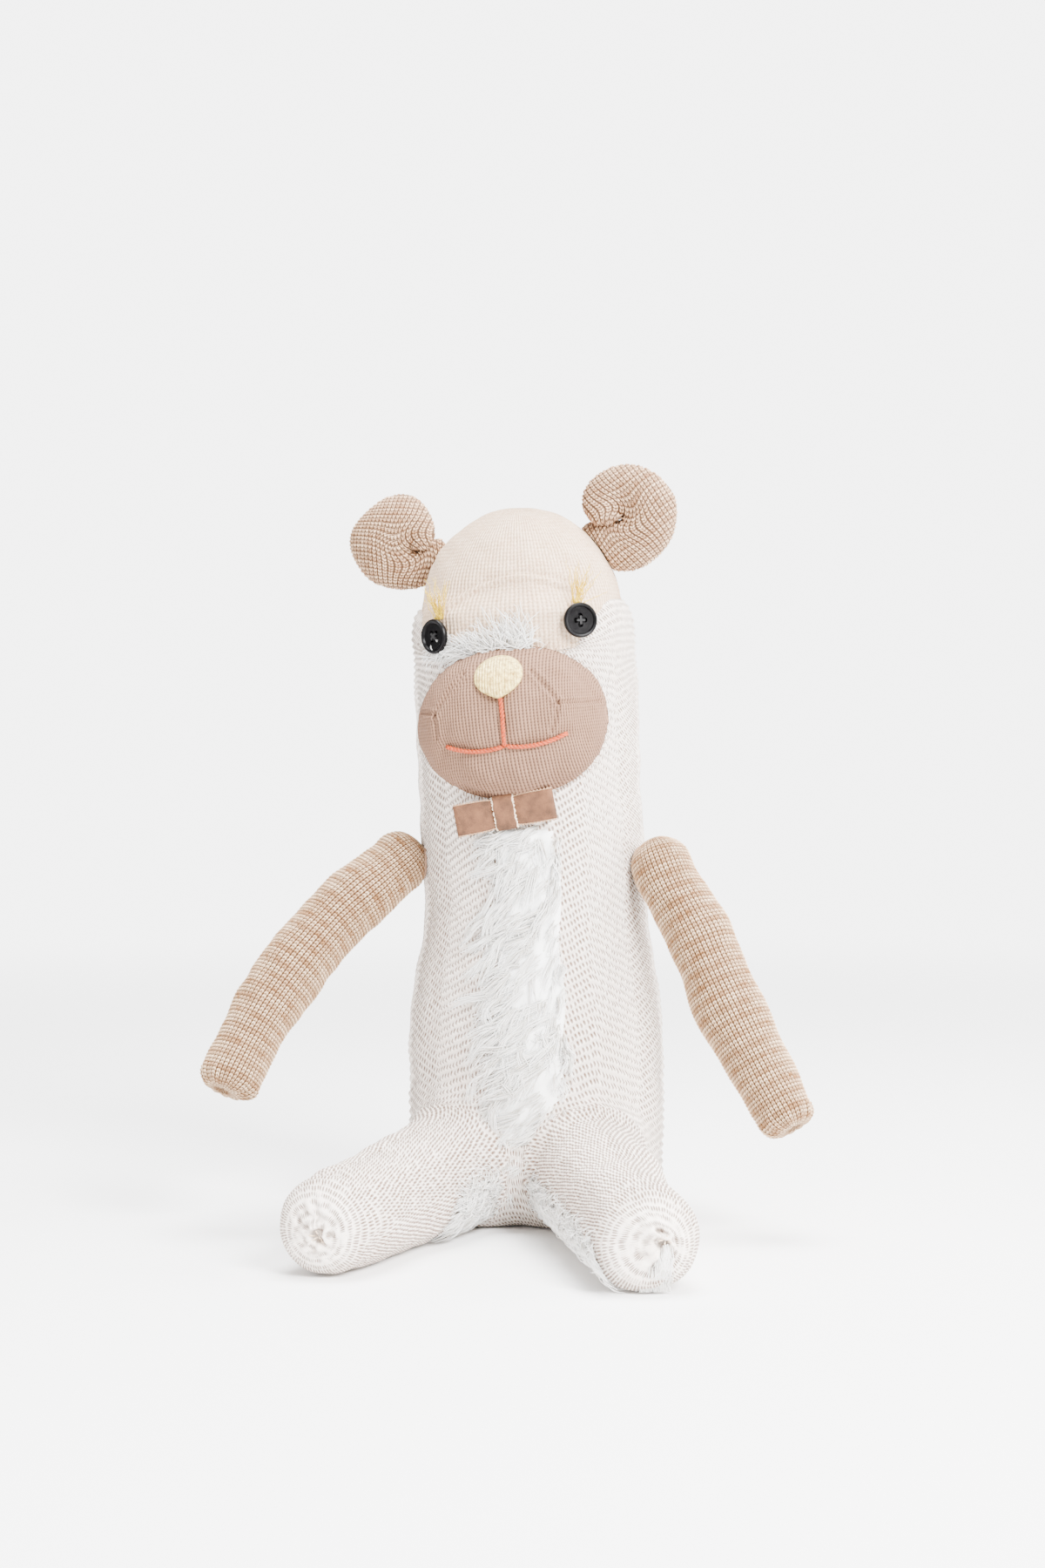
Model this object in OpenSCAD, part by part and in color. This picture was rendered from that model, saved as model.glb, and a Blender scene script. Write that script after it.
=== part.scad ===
// Seated sock-animal plush toy: knit skins over fibre stuffing, with sewn limbs, coiled ears,
// a heel-pocket muzzle, button eyes, a ribbon bow and strips of long white pile.
// +Z is up, the toy faces -Y, and the origin is the middle of the seat on the floor.

/* [Body] */
// Radius of the belly
belly_r = 56; // [50:0.5:62]
// Radius of the chest and the head tube
chest_r = 49; // [45:0.5:52]
// Height of the crown above the floor
crown_z = 311; // [295:1:330]
// Height at which the belly starts to narrow
belly_z = 75; // [60:1:85]
// Height at which the chest has its full narrowness
chest_z = 140; // [120:1:145]
// Radius of the rounding under the belly
seat_round = 20; // [12:1:26]
// Height of the pivot line on which the head bends
neck_z = 120; // [112:1:126]
// Radius of the curved joint face between torso and head
neck_r = 60; // [58:0.5:64]

/* [Head] */
// Height of the seam between head tube and cap
cap_seam_z = 266; // [262:0.5:268]
// Radius of the cap where it meets the head tube
cap_r = 44.5; // [40:0.5:45]
// Sideways lean of the head, degrees
head_lean = 2.8; // [0:0.1:4]
// Height at which the lean starts
lean_z = 140; // [130:1:150]

/* [Face] */
// Height of the middle of the muzzle
muzzle_z = 217; // [215:0.5:220]
// Half width of the muzzle
muzzle_a = 40; // [34:0.5:41]
// Half height of the muzzle
muzzle_c = 32.5; // [27:0.5:33]
// Depth of the muzzle's bulge in front of its widest ring
muzzle_b = 31; // [22:0.5:34]
// Roll of the face about the muzzle, degrees
face_roll = 3.7; // [0:0.1:5]
// Distance of the left eye from the face's middle line
left_eye_x = 26.5; // [25:0.5:30]
// Distance of the right eye from the face's middle line
right_eye_x = 32; // [29:0.5:34]
// Height of the eyes above the muzzle's middle
eye_up = 40; // [38:0.5:41]
// Diameter of an eye button
button_d = 15; // [12:0.5:18]
// Thickness of an eye button
button_t = 3; // [2.4:0.1:3.6]
// Length of the thread shank under a button
shank_l = 3.2; // [2.6:0.1:4]
// Width of the nose
nose_w = 21; // [16:0.5:24]
// Height of the nose
nose_h = 17; // [13:0.5:19]
// Width of the smile, corner to corner
smile_w = 52; // [40:1:56]

/* [Ears] */
// Outer radius of a coiled ear
ear_r = 19; // [16:0.5:20]
// Half thickness of a coiled ear
ear_t = 9.5; // [7:0.5:9.5]
// Place of the left ear round the cap, degrees from the side up towards the crown
left_ear_angle = 33; // [25:1:45]
// Place of the right ear round the cap, degrees from the side up towards the crown
right_ear_angle = 42; // [25:1:45]
// Clearance between an ear's rim and the cap
ear_gap = 0.8; // [0.6:0.1:1.2]
// How far the ears sit behind the head's axis
ear_back = 6; // [2:0.5:10]

/* [Arms] */
// Radius of an arm's root
arm_root_r = 13; // [11:0.5:14]
// Radius of an arm at its middle
arm_mid_r = 14.5; // [12:0.5:15]
// Radius of a hand
hand_r = 12.8; // [11:0.5:14]
// Length of an arm between the centres of root and hand
arm_l = 120; // [95:1:135]
// Height of the shoulders
shoulder_z = 155; // [150:0.5:156]
// How far round to the front the shoulders sit, degrees
shoulder_turn = 16; // [10:1:20]

/* [Legs] */
// Radius of a leg at the hip
hip_r = 25; // [21:0.5:25.5]
// Radius of a foot
foot_r = 19.5; // [16:0.5:21]
// Length of the left leg between the centres of hip and foot
left_leg_l = 122; // [100:1:145]
// Length of the right leg between the centres of hip and foot
right_leg_l = 138; // [110:1:155]
// Half distance between the hips
hip_x = 28.5; // [26.5:0.5:32]
// How far the hips sit in front of the body's axis
hip_y = 44; // [42:0.5:50]
// Spread of the left leg from straight ahead, degrees
left_leg_spread = 13.5; // [12:0.5:24]
// Spread of the right leg from straight ahead, degrees
right_leg_spread = 17; // [12:0.5:24]

/* [Bow] */
// Width of the bow, tip to tip
bow_w = 44; // [34:1:48]
// Width of the velvet ribbon
ribbon_w = 12.7; // [10:0.1:14]
// Thickness of the ribbon with its pile
ribbon_t = 1.1; // [0.8:0.1:1.3]
// Height of the middle of the bow
bow_z = 174.5; // [173:0.5:177]
// Tilt of the bow, degrees
bow_tilt = 8; // [0:0.5:9]

/* [Fur] */
// Width of the strip of pile on the chest, degrees round the body
fur_angle = 34; // [20:1:44]
// Thickness of the pile's backing and roots
fur_t = 2.2; // [1.2:0.1:3]
// Lowest point of the chest strip
fur_low_z = 68; // [66:1:80]
// Highest point of the chest strip
fur_high_z = 150; // [130:1:150]

/* [Fabric] */
// Thickness of a knit skin
skin_t = 1.2; // [0.8:0.1:1.6]
// Clearance between a skin and its stuffing
fill_gap = 0.15; // [0.1:0.05:0.3]
// Clearance between sewn pieces that do not move
sewn_gap = 0.1; // [0.05:0.05:0.2]
// Clearance between pieces that turn against each other
turn_gap = 0.5; // [0.4:0.05:0.8]
// Thickness of embroidery thread
thread_d = 1.6; // [1:0.1:2]

/* [Hidden] */
$fn = 48;

// Knit and trim colours
knit_cream = "#EFE8E3";
knit_beige = "#E3D8CE";
knit_marl = "#D9C3AF";
knit_tan = "#C2A595";
pile_white = "#F6F5F1";
fill_white = "#FAFAF7";
gold = "#E3D27A";
coral = "#E57B55";
velvet = "#BC957A";
button_black = "#1E1B1D";

// Body outline
outline_steps = 30;
corner_steps = 8;
seat_inset = 18;

// Hinge travel that the clearances allow for, degrees
leg_up = 25;
leg_down = 75;

// Places that follow from the sizes above
shoulder_d = chest_r + arm_root_r + turn_gap;
shoulder_x = shoulder_d * cos(shoulder_turn);
shoulder_y = -shoulder_d * sin(shoulder_turn);
socket_r = hip_r + turn_gap;
cap_mid_z = cap_seam_z - 4;
cap_h = crown_z - cap_mid_z;
face_r = chest_r;
eye_hole_r = 1.1;
eye_hole_d = 2;
strand_r = 0.45;
wad_r = arm_root_r - skin_t - 3;

// Blend from 0 to 1 with level ends
function smooth(t) = let (c = min(max(t, 0), 1)) c * c * (3 - 2 * c);

// Radius of the body tube at height z, drawn in by d
function body_r(z, d = 0) =
    belly_r + (chest_r - belly_r) * smooth((z - belly_z) / (chest_z - belly_z)) - d;

// Outline of the body tube from the seat up to z_top, drawn in by d all round
function body_outline(z_top, d) = concat(
    [[0, d]],
    [for (i = [0:corner_steps])
        let (a = 90 * i / corner_steps)
        [belly_r - seat_inset + (seat_inset - d) * sin(a), seat_round - (seat_round - d) * cos(a)]],
    [for (i = [1:outline_steps])
        let (z = seat_round + (z_top - seat_round) * i / outline_steps)
        [body_r(z, d), z]],
    [[0, z_top]]
);

// Outline of a band on the body tube between two heights and two distances off the surface
function band_outline(z0, z1, off0, off1, n = 16) = concat(
    [for (i = [0:n]) let (z = z0 + (z1 - z0) * i / n) [body_r(z, -off1), z]],
    [for (i = [n:-1:0]) let (z = z0 + (z1 - z0) * i / n) [body_r(z, -off0), z]]
);

// Outline of the cap's dome, drawn in by d
function cap_outline(d, z0, n = 16) =
    let (a0 = asin((z0 - cap_mid_z) / (cap_h - d)))
    concat(
        [[0, z0]],
        [for (i = [0:n])
            let (a = a0 + (90 - a0) * i / n)
            [i == n ? 0 : (cap_r - d) * cos(a), cap_mid_z + (cap_h - d) * sin(a)]]
    );

// Outline of two balls and the cone that joins them, along the height
function limb_outline(r1, r2, len, n = 14) =
    let (b = asin((r1 - r2) / len))
    concat(
        [for (i = [0:n]) let (a = 180 - (90 + b) * i / n) [i == 0 ? 0 : r1 * sin(a), r1 * cos(a)]],
        [for (i = [0:n]) let (a = (90 - b) * (1 - i / n)) [i == n ? 0 : r2 * sin(a), len + r2 * cos(a)]]
    );

// Outline of a coiled ear, thicker round its rim than in its middle
ear_dip = 2.5;
function ear_outline(d, n = 12) =
    let (
        m = ear_r - ear_t,
        rim = [for (i = [0:n])
            let (a = 90 - 180 * i / n)
            [m + (ear_t - d) * cos(a), (ear_t - d) * sin(a)]]
    )
    concat([[0, ear_t - ear_dip - d]], rim, [[0, -(ear_t - ear_dip - d)]]);

// Closed surface through rings of points that all have the same number of points
function ring_count(rings) = len(rings[0]);
function ring_mid(ring) =
    let (n = len(ring))
    [for (k = [0:2]) [for (p = ring) p[k]] * [for (p = ring) 1] / n];
module loft(rings) {
    n = ring_count(rings);
    m = len(rings);
    points = concat([for (r = rings) each r], [ring_mid(rings[0]), ring_mid(rings[m - 1])]);
    sides = [for (j = [0:m - 2]) for (i = [0:n - 1])
        let (a = j * n + i, b = j * n + (i + 1) % n)
        each [[a, b + n, b], [a, a + n, b + n]]];
    first = [for (i = [0:n - 1]) [m * n, i, (i + 1) % n]];
    last = [for (i = [0:n - 1]) [m * n + 1, (m - 1) * n + (i + 1) % n, (m - 1) * n + i]];
    polyhedron(points, concat(sides, first, last));
}

// Ring of n points of radius r round a point p, square to direction t
function unit(v) = v / norm(v);
function ring_at(p, t, r, n) =
    let (
        side = unit(cross(t, abs(t[1]) > 0.9 ? [1, 0, 0] : [0, 1, 0])),
        up = cross(side, t)
    )
    [for (i = [0:n - 1]) let (a = -360 * i / n) p + r * (cos(a) * side + sin(a) * up)];

// Thread laid along a list of points, with n sides and blunt ends
function path_dir(path, i) = unit(path[min(i + 1, len(path) - 1)] - path[max(i - 1, 0)]);
module thread(path, r, n = 8) {
    loft([for (i = [0:len(path) - 1]) ring_at(path[i], path_dir(path, i), r, n)]);
}

// ---- torso ----

module hip_sockets(extra) {
    for (s = [-1, 1])
        translate([s * hip_x, -hip_y, hip_r]) {
            sphere(r = socket_r + extra + 0.2, $fn = 64);
            rotate([0, 0, s < 0 ? -left_leg_spread : right_leg_spread])
                for (a = [90 + leg_down, 90 - leg_up])
                    rotate([a, 0, 0])
                        cylinder(r = socket_r + extra, h = 2.6 * hip_r);
        }
    translate([-belly_r, -hip_y - belly_r, -1])
        cube([2 * belly_r, belly_r + 1, fur_low_z - 2 - turn_gap]);
}

module neck_keep(r) {
    translate([-chest_r - 10, 0, neck_z])
        rotate([0, 90, 0])
            cylinder(r = r, h = 2 * chest_r + 20, $fn = 96);
    translate([-belly_r - 5, -belly_r - 5, -5])
        cube([2 * belly_r + 10, 2 * belly_r + 10, neck_z + 15]);
}

module torso_solid(d, extra) {
    difference() {
        intersection() {
            rotate_extrude($fn = 96) polygon(body_outline(neck_z + neck_r + 8, d));
            neck_keep(neck_r - turn_gap / 2);
        }
        hip_sockets(extra);
    }
}

module torso_skin() {
    color(knit_cream)
        difference() {
            torso_solid(0, 0);
            rotate_extrude($fn = 96) polygon(body_outline(neck_z + neck_r + 12, skin_t));
        }
}

module torso_stuffing() {
    color(fill_white) torso_solid(skin_t + fill_gap, 0);
}

module chest_fur() {
    color(pile_white)
        rotate([0, 0, -90 - fur_angle / 2 + 5])
            rotate_extrude(angle = fur_angle, $fn = 96)
                polygon(band_outline(fur_low_z, fur_high_z, sewn_gap, sewn_gap + fur_t));
}

// Ring of thread lying on the torso round the spot where an arm is sewn on
module shoulder_stitches(s) {
    ring_r = 7;
    wire_r = 0.5;
    rotate([0, 0, s > 0 ? -shoulder_turn : 180 + shoulder_turn])
        translate([chest_r + sewn_gap + wire_r, 0, shoulder_z])
            rotate([0, 90, 0])
                color(knit_marl)
                    rotate_extrude() translate([ring_r, 0]) circle(r = wire_r, $fn = 16);
}

// ---- head ----

// Frame of the head, leaning sideways from lean_z up
module head_frame() {
    translate([0, 0, lean_z]) rotate([0, -head_lean, 0]) translate([0, 0, -lean_z]) children();
}

module neck_cut(r) {
    translate([-chest_r - 20, 0, neck_z])
        rotate([0, 90, 0])
            cylinder(r = r, h = 2 * chest_r + 40, $fn = 96);
}

// Outline of the head tube's skin, closing in round the foot of the cap
head_low_z = neck_z + 8;
cap_clear = 0.4;
shoulder_drop = 5;
shoulder_rise = 4.5;
function head_skin_outline() =
    let (
        inner = chest_r - skin_t,
        bend_z = cap_seam_z - shoulder_drop,
        lip_z = cap_seam_z + shoulder_rise,
        lip_x = cap_r + cap_clear
    )
    [
        [inner, head_low_z], [chest_r, head_low_z], [chest_r, bend_z],
        [chest_r - skin_t / 2, cap_seam_z], [lip_x + 1.75 * skin_t, lip_z],
        [lip_x, lip_z + 1.25 * skin_t], [lip_x, lip_z], [inner - skin_t, cap_seam_z],
        [inner, bend_z],
    ];

module head_skin() {
    color(knit_cream)
        difference() {
            head_frame() rotate_extrude($fn = 96) polygon(head_skin_outline());
            neck_cut(neck_r + turn_gap / 2);
        }
}

module head_stuffing() {
    fill_r = chest_r - skin_t - fill_gap;
    color(fill_white)
        difference() {
            head_frame() {
                rotate_extrude($fn = 96)
                    polygon(concat(
                        [[0, head_low_z], [fill_r, head_low_z], [fill_r, cap_seam_z - shoulder_drop - 0.5]],
                        [for (p = cap_outline(skin_t + fill_gap, cap_seam_z - 1)) if (p[0] > 0) p],
                        [[0, crown_z - skin_t - fill_gap]]
                    ));
            }
            neck_cut(neck_r + turn_gap / 2);
        }
}

module head_cap() {
    z0 = cap_seam_z - 0.5;
    color(knit_beige)
        head_frame()
            difference() {
                rotate_extrude($fn = 96) polygon(cap_outline(0, z0));
                rotate_extrude($fn = 96) polygon(concat([[0, z0 - 1]], [[cap_r - skin_t, z0 - 1]],
                    [for (p = cap_outline(skin_t, z0)) if (p[1] > z0 || p[0] > 0) p]));
            }
}

// Raised line of stitches over the front of the cap
module cap_seam() {
    seam_z = cap_seam_z + 20;
    seam_reach = 140;
    wire_r = 0.5;
    seam_r = cap_r * sqrt(1 - pow((seam_z - cap_mid_z) / cap_h, 2));
    color(knit_beige)
        head_frame()
            translate([0, 0, seam_z])
                rotate([0, 0, -90 - seam_reach / 2])
                    rotate_extrude(angle = seam_reach, $fn = 96)
                        translate([seam_r + wire_r * 1.6 + sewn_gap, 0]) circle(r = wire_r, $fn = 16);
}

// ---- face ----

// Place on the face plane, right f[0] and up f[1] from the muzzle's middle, with the roll applied
function face_xz(f) = [
    f[0] * cos(face_roll) - f[1] * sin(face_roll),
    muzzle_z + f[0] * sin(face_roll) + f[1] * cos(face_roll)
];

// Point on the head tube at face place f, at distance off from its surface
function head_point(f, off) =
    let (p = face_xz(f), r = face_r + off)
    [p[0], -sqrt(r * r - p[0] * p[0]), p[1]];

// Ring of the muzzle at share v of the way from its front to its rim, drawn in by d
muzzle_mid_y = face_r - 8;
muzzle_sides = 32;
// Keeps the flat facets of a back that lies on the round head clear of it
chord_gap = 0.15;
function muzzle_ring(v, d) = [for (i = [0:muzzle_sides - 1])
    let (
        u = -360 * i / muzzle_sides,
        w = v * (76 + 36 * pow(cos(u), 2)),
        f = [(muzzle_a - d) * sin(w) * cos(u), (muzzle_c - d) * sin(w) * sin(u)],
        p = face_xz(f),
        rim_y = -sqrt(pow(face_r + sewn_gap + chord_gap, 2) - p[0] * p[0])
    )
    [p[0], v == 1 ? rim_y : min(rim_y, -muzzle_mid_y - (muzzle_b - d) * cos(w)), p[1]]];
muzzle_steps = [0.04, 0.16, 0.3, 0.44, 0.58, 0.7, 0.8, 0.88, 0.95, 1];

// Front surface of the muzzle at face place f, at distance off in front of it
function muzzle_point(f, off) =
    let (
        q = pow(f[0] / muzzle_a, 2) + pow(f[1] / muzzle_c, 2),
        p = face_xz(f)
    )
    [p[0], -muzzle_mid_y - (muzzle_b + off) * sqrt(max(0, 1 - q)) - off * 0.4, p[1]];

module muzzle_skin() {
    color(knit_tan)
        head_frame()
            loft(concat(
                [for (v = muzzle_steps) muzzle_ring(v, 0)],
                [for (k = [len(muzzle_steps) - 1:-1:0]) muzzle_ring(muzzle_steps[k], skin_t)]
            ));
}

module muzzle_stuffing() {
    d = skin_t + fill_gap;
    rim = muzzle_ring(1, d);
    mid = face_xz([0, 0]);
    backs = [0.8, 0.6, 0.4, 0.2, 0.05];
    color(fill_white)
        head_frame()
            loft(concat(
                [for (v = muzzle_steps) muzzle_ring(v, d)],
                [for (k = backs) [for (p = rim)
                    let (x = mid[0] + (p[0] - mid[0]) * k, z = mid[1] + (p[2] - mid[1]) * k)
                    [x, -sqrt(pow(face_r + sewn_gap + 3 * chord_gap, 2) - x * x), z]]]
            ));
}

module muzzle_seam_thread() {
    wire_r = 0.4;
    n = 40;
    stand = wire_r + 0.4;
    path = [for (i = [0:n - 1])
        let (
            u = 360 * i / n,
            w = 76 + 36 * pow(cos(u), 2),
            f = [(muzzle_a * sin(w) + stand * 1.8) * cos(u), (muzzle_c * sin(w) + stand * 1.8) * sin(u)]
        )
        head_point(f, stand)];
    rings = [for (i = [0:n - 1])
        ring_at(path[i], unit(path[(i + 1) % n] - path[(i + n - 1) % n]), wire_r, 8)];
    color(knit_tan) head_frame() loft([for (i = [0:n - 2]) rings[i]]);
}

module nose_patch() {
    nose_up = 20;
    n = 24;
    back = 0.35;
    front = 2.6;
    function ring(k, off) = [for (i = [0:n - 1])
        let (
            a = -360 * i / n,
            point_down = 1 + 0.1 * pow(max(0, -sin(a)), 6),
            f = [k * nose_w / 2 * cos(a), nose_up + k * nose_h / 2 * sin(a) * point_down]
        )
        muzzle_point(f, off)];
    color(gold)
        head_frame()
            loft(concat(
                [for (k = [0.1, 0.5, 0.8, 0.94]) ring(k, back + (front - back) * sqrt(1 - k * k))],
                [ring(1, back + 0.4), ring(0.98, back), ring(0.5, back), ring(0.1, back)]
            ));
}

// Embroidered line over the muzzle between face places a and b, sagging by sag
module face_thread(a, b, sag, n = 9) {
    off = thread_d / 2 + 0.5;
    path = [for (i = [0:n])
        let (t = i / n)
        muzzle_point(a + (b - a) * t - [0, sag * 4 * t * (1 - t)], off)];
    color(coral) head_frame() thread(path, thread_d / 2, 8);
}

mouth_up = -10;
module philtrum_thread() { face_thread([0.5, 9.5], [0, mouth_up + thread_d * 0.8], 0); }
module smile_thread(s) {
    face_thread([s * thread_d * 0.6, mouth_up], [s * smile_w / 2, mouth_up + 1.5], 3);
}

module forehead_fur() {
    low = muzzle_z + muzzle_c + 1.5;
    tuft_angle = 40;
    tuft_turn = -5;
    tuft_t = 1.6;
    color(pile_white)
        head_frame()
            rotate([0, 0, -90 + tuft_turn - tuft_angle / 2])
                rotate_extrude(angle = tuft_angle, $fn = 96)
                    translate([chest_r + sewn_gap, low]) square([tuft_t, cap_seam_z - 1 - low]);
}

// Frame of an eye: origin on the head's surface, +Z straight out of it, +Y up the head
module eye_frame(s, turn) {
    p = head_point([s < 0 ? -left_eye_x : right_eye_x, eye_up], 0);
    head_frame()
        translate(p)
            rotate([0, 0, atan2(p[1], p[0]) + turn])
                rotate([90, 0, 90])
                    children();
}
left_eye_turn = 0;
right_eye_turn = -9;

// A button turned by spin; its four holes form a square at 0 and a plus at 45 degrees
left_eye_spin = 0;
right_eye_spin = 45;
module eye_button(spin) {
    r = button_d / 2;
    color(button_black)
        translate([0, 0, shank_l])
            difference() {
                rotate_extrude()
                    polygon([
                        [0, 0.4], [r * 0.55, 0], [r * 0.93, 0.5], [r, 1.2], [r, button_t - 0.7],
                        [r * 0.96, button_t - 0.2], [r * 0.9, button_t], [r * 0.82, button_t - 0.2],
                        [r * 0.76, button_t - 0.9], [0, button_t - 1.1],
                    ]);
                for (a = [45:90:315])
                    rotate([0, 0, a + spin])
                        translate([eye_hole_d, 0, -1])
                            cylinder(r = eye_hole_r, h = button_t + 2, $fn = 24);
            }
}

module eye_thread(spin) {
    face_z = shank_l + button_t - 1;
    color(button_black) {
        translate([0, 0, 0.3])
            cylinder(r = 1.5, h = shank_l - 0.35, $fn = 24);
        for (a = [45, 135])
            rotate([0, 0, a + spin]) {
                for (e = [-1, 1])
                    translate([e * eye_hole_d * 0.7, 0, shank_l - 0.2])
                        cylinder(r = strand_r, h = button_t - 0.5, $fn = 16);
                translate([-eye_hole_d * 0.7 - strand_r, -strand_r, face_z])
                    cube([2 * (eye_hole_d * 0.7 + strand_r), 2 * strand_r, 0.7]);
            }
    }
}

module lash_tuft(s) {
    root = button_d / 2 + 0.8;
    stand = 0.6;
    tall = 13;
    thick = 0.8;
    half_foot = 1.6;
    half_top = 5.2;
    fan_out = 12;
    lie_back = -8;
    color(gold)
        eye_frame(s, 0)
            rotate([0, 0, -s * fan_out])
                translate([0, root, stand])
                    rotate([lie_back, 0, 0])
                        linear_extrude(thick)
                            polygon([[-half_foot, 0], [half_foot, 0], [half_top, tall], [-half_top, tall]]);
}

// ---- bow ----

// Frame of the bow: origin at its knot on the chest, +X along the ribbon, +Z up its width
module bow_frame() {
    head_frame() translate([0, -chest_r - 0.5, bow_z]) rotate([0, -bow_tilt, 0]) children();
}

loop_gap = 1.6;
bow_d = 2 * ribbon_t + loop_gap;
bow_stand = bow_d / 2 + ribbon_t + 0.4;
module slot_shape(w, t) {
    hull() for (e = [-1, 1]) translate([e * (w - t) / 2, 0]) circle(d = t, $fn = 24);
}

module bow_ribbon() {
    color(velvet)
        bow_frame()
            translate([0, -bow_stand, -ribbon_w / 2])
                linear_extrude(ribbon_w)
                    difference() {
                        slot_shape(bow_w, bow_d);
                        slot_shape(bow_w - 2 * ribbon_t, bow_d - 2 * ribbon_t);
                    }
}

module bow_band() {
    band_w = 8.5;
    fit = 0.15;
    color(velvet)
        bow_frame()
            translate([-band_w / 2, -bow_stand, 0])
                rotate([90, 0, 90])
                    linear_extrude(band_w)
                        difference() {
                            square([bow_d + 2 * (ribbon_t + fit), ribbon_w + 2 * (ribbon_t + fit)], center = true);
                            square([bow_d + 2 * fit, ribbon_w + 2 * fit], center = true);
                        }
}

module bow_stitch() {
    color(velvet)
        bow_frame()
            rotate([90, 0, 0])
                translate([0, 0, -0.3])
                    cylinder(r = 1.5, h = 0.5, $fn = 24);
}

// ---- ears ----

// Frame of an ear: origin at its centre, +Z along the axis of the coil
module ear_frame(s) {
    a = s < 0 ? 180 - left_ear_angle : right_ear_angle;
    out = unit([cos(a) / cap_r, sin(a) / cap_h]);
    p = [cap_r * cos(a), cap_mid_z + cap_h * sin(a)] + (ear_r + ear_gap) * out;
    head_frame() translate([p[0], ear_back, p[1]]) rotate([90, 0, 0]) children();
}

module ear_skin() {
    color(knit_marl)
        difference() {
            rotate_extrude($fn = 64) polygon(ear_outline(0));
            rotate_extrude($fn = 64) polygon(ear_outline(skin_t));
        }
}

module ear_stuffing() {
    color(fill_white) rotate_extrude($fn = 64) polygon(ear_outline(skin_t + fill_gap));
}

// Knot in the middle of the coil, clear of the slope that rises from there to the rim
module ear_thread() {
    knot_r = 1.6;
    rise = ear_dip * knot_r / (ear_r - ear_t);
    color(knit_marl)
        translate([0, 0, ear_t - ear_dip + rise + sewn_gap]) cylinder(r = knot_r, h = 1, $fn = 24);
}

// ---- arms ----

// Direction of each arm from shoulder to hand, and how far its middle stands out of line
left_arm_dir = unit([-60, -58, -87]);
right_arm_dir = unit([54, -38, -101]);
left_arm_bow = [-5, 0, 4.5];
right_arm_bow = [-1.5, -1.5, -1];
arm_steps = 9;
tip_steps = 4;
arm_sides = 16;

function arm_root(s) = [s * shoulder_x, shoulder_y, shoulder_z];
function arm_tip(s) = arm_root(s) + arm_l * (s < 0 ? left_arm_dir : right_arm_dir);
function arm_centre(s, t) =
    arm_root(s) + (arm_tip(s) - arm_root(s)) * t + (s < 0 ? left_arm_bow : right_arm_bow) * 4 * t * (1 - t);
function arm_heading(s, t) = unit(arm_centre(s, t + 0.01) - arm_centre(s, t - 0.01));
function arm_r(t) =
    (t < 0.5 ? arm_root_r + (arm_mid_r - arm_root_r) * smooth(2 * t)
        : arm_mid_r + (hand_r - arm_mid_r) * smooth(2 * t - 1));

// Rings of an arm drawn in by d: a ball end, the sleeve, and a blunt hand
function arm_rings(s, d) = concat(
    [for (i = [1:tip_steps])
        let (a = 90 * i / (tip_steps + 1), r = arm_root_r - d)
        ring_at(arm_root(s) - arm_heading(s, 0) * r * cos(a), arm_heading(s, 0), r * sin(a), arm_sides)],
    [for (i = [0:arm_steps])
        let (t = i / arm_steps)
        ring_at(arm_centre(s, t), arm_heading(s, t), arm_r(t) - d, arm_sides)],
    [for (i = [tip_steps:-1:1])
        let (a = 90 * i / (tip_steps + 1), r = hand_r - d)
        ring_at(arm_tip(s) + arm_heading(s, 1) * r * 0.85 * cos(a), arm_heading(s, 1), r * sin(a), arm_sides)]
);

module arm_skin(s) {
    color(knit_marl)
        difference() {
            loft(arm_rings(s, 0));
            loft(arm_rings(s, skin_t));
        }
}

module arm_stuffing(s) {
    color(fill_white)
        difference() {
            loft(arm_rings(s, skin_t + fill_gap));
            translate(arm_root(s)) sphere(r = wad_r + turn_gap);
        }
}

module shoulder_wad(s) {
    color(fill_white) translate(arm_root(s)) sphere(r = wad_r);
}

module hand_gather(s) {
    tip = arm_tip(s) + arm_heading(s, 1) * (hand_r * 0.85);
    h = arm_heading(s, 1);
    color(knit_marl)
        loft([for (k = [0.15, 0.5, 1]) ring_at(tip + h * k, h, 2.4 - k, 12)]);
}

// ---- legs ----

// Frame of a leg: origin at the hip, +Z towards the foot, which lies on the floor
module leg_frame(s, len) {
    drop = asin((hip_r - foot_r) / len);
    translate([s * hip_x, -hip_y, hip_r])
        rotate([0, 0, s < 0 ? -left_leg_spread : right_leg_spread])
            rotate([90 + drop, 0, 0])
                children();
}
function leg_l(s) = s < 0 ? left_leg_l : right_leg_l;

module leg_solid(s, d) {
    rotate_extrude($fn = 64) polygon(limb_outline(hip_r - d, foot_r - d, leg_l(s)));
}

module leg_skin(s) {
    color(knit_cream)
        leg_frame(s, leg_l(s))
            difference() {
                leg_solid(s, 0);
                leg_solid(s, skin_t);
            }
}

module leg_stuffing(s) {
    color(fill_white) leg_frame(s, leg_l(s)) leg_solid(s, skin_t + fill_gap);
}

module toe_gather(s) {
    color(knit_cream)
        leg_frame(s, leg_l(s))
            translate([0, 0, leg_l(s) + foot_r + sewn_gap])
                cylinder(r = 3, h = 1, $fn = 24);
}

fur_hip_end = 14;

// Pile along the inner side of a leg, from z0 to z1 along its length
module leg_fur(s, z0, z1) {
    taper = (hip_r - foot_r) / leg_l(s);
    turn = 40;
    below = 12;
    off = sewn_gap + 0.1;
    pile_t = 1.5;
    r0 = hip_r - taper * z0 + off;
    r1 = hip_r - taper * z1 + off;
    color(pile_white)
        leg_frame(s, leg_l(s))
            rotate([0, 0, s < 0 ? -below : 180 + below - turn])
                rotate_extrude(angle = turn, $fn = 64)
                    polygon([[r0, z0], [r0 + pile_t, z0], [r1 + pile_t, z1], [r1, z1]]);
}

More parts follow.
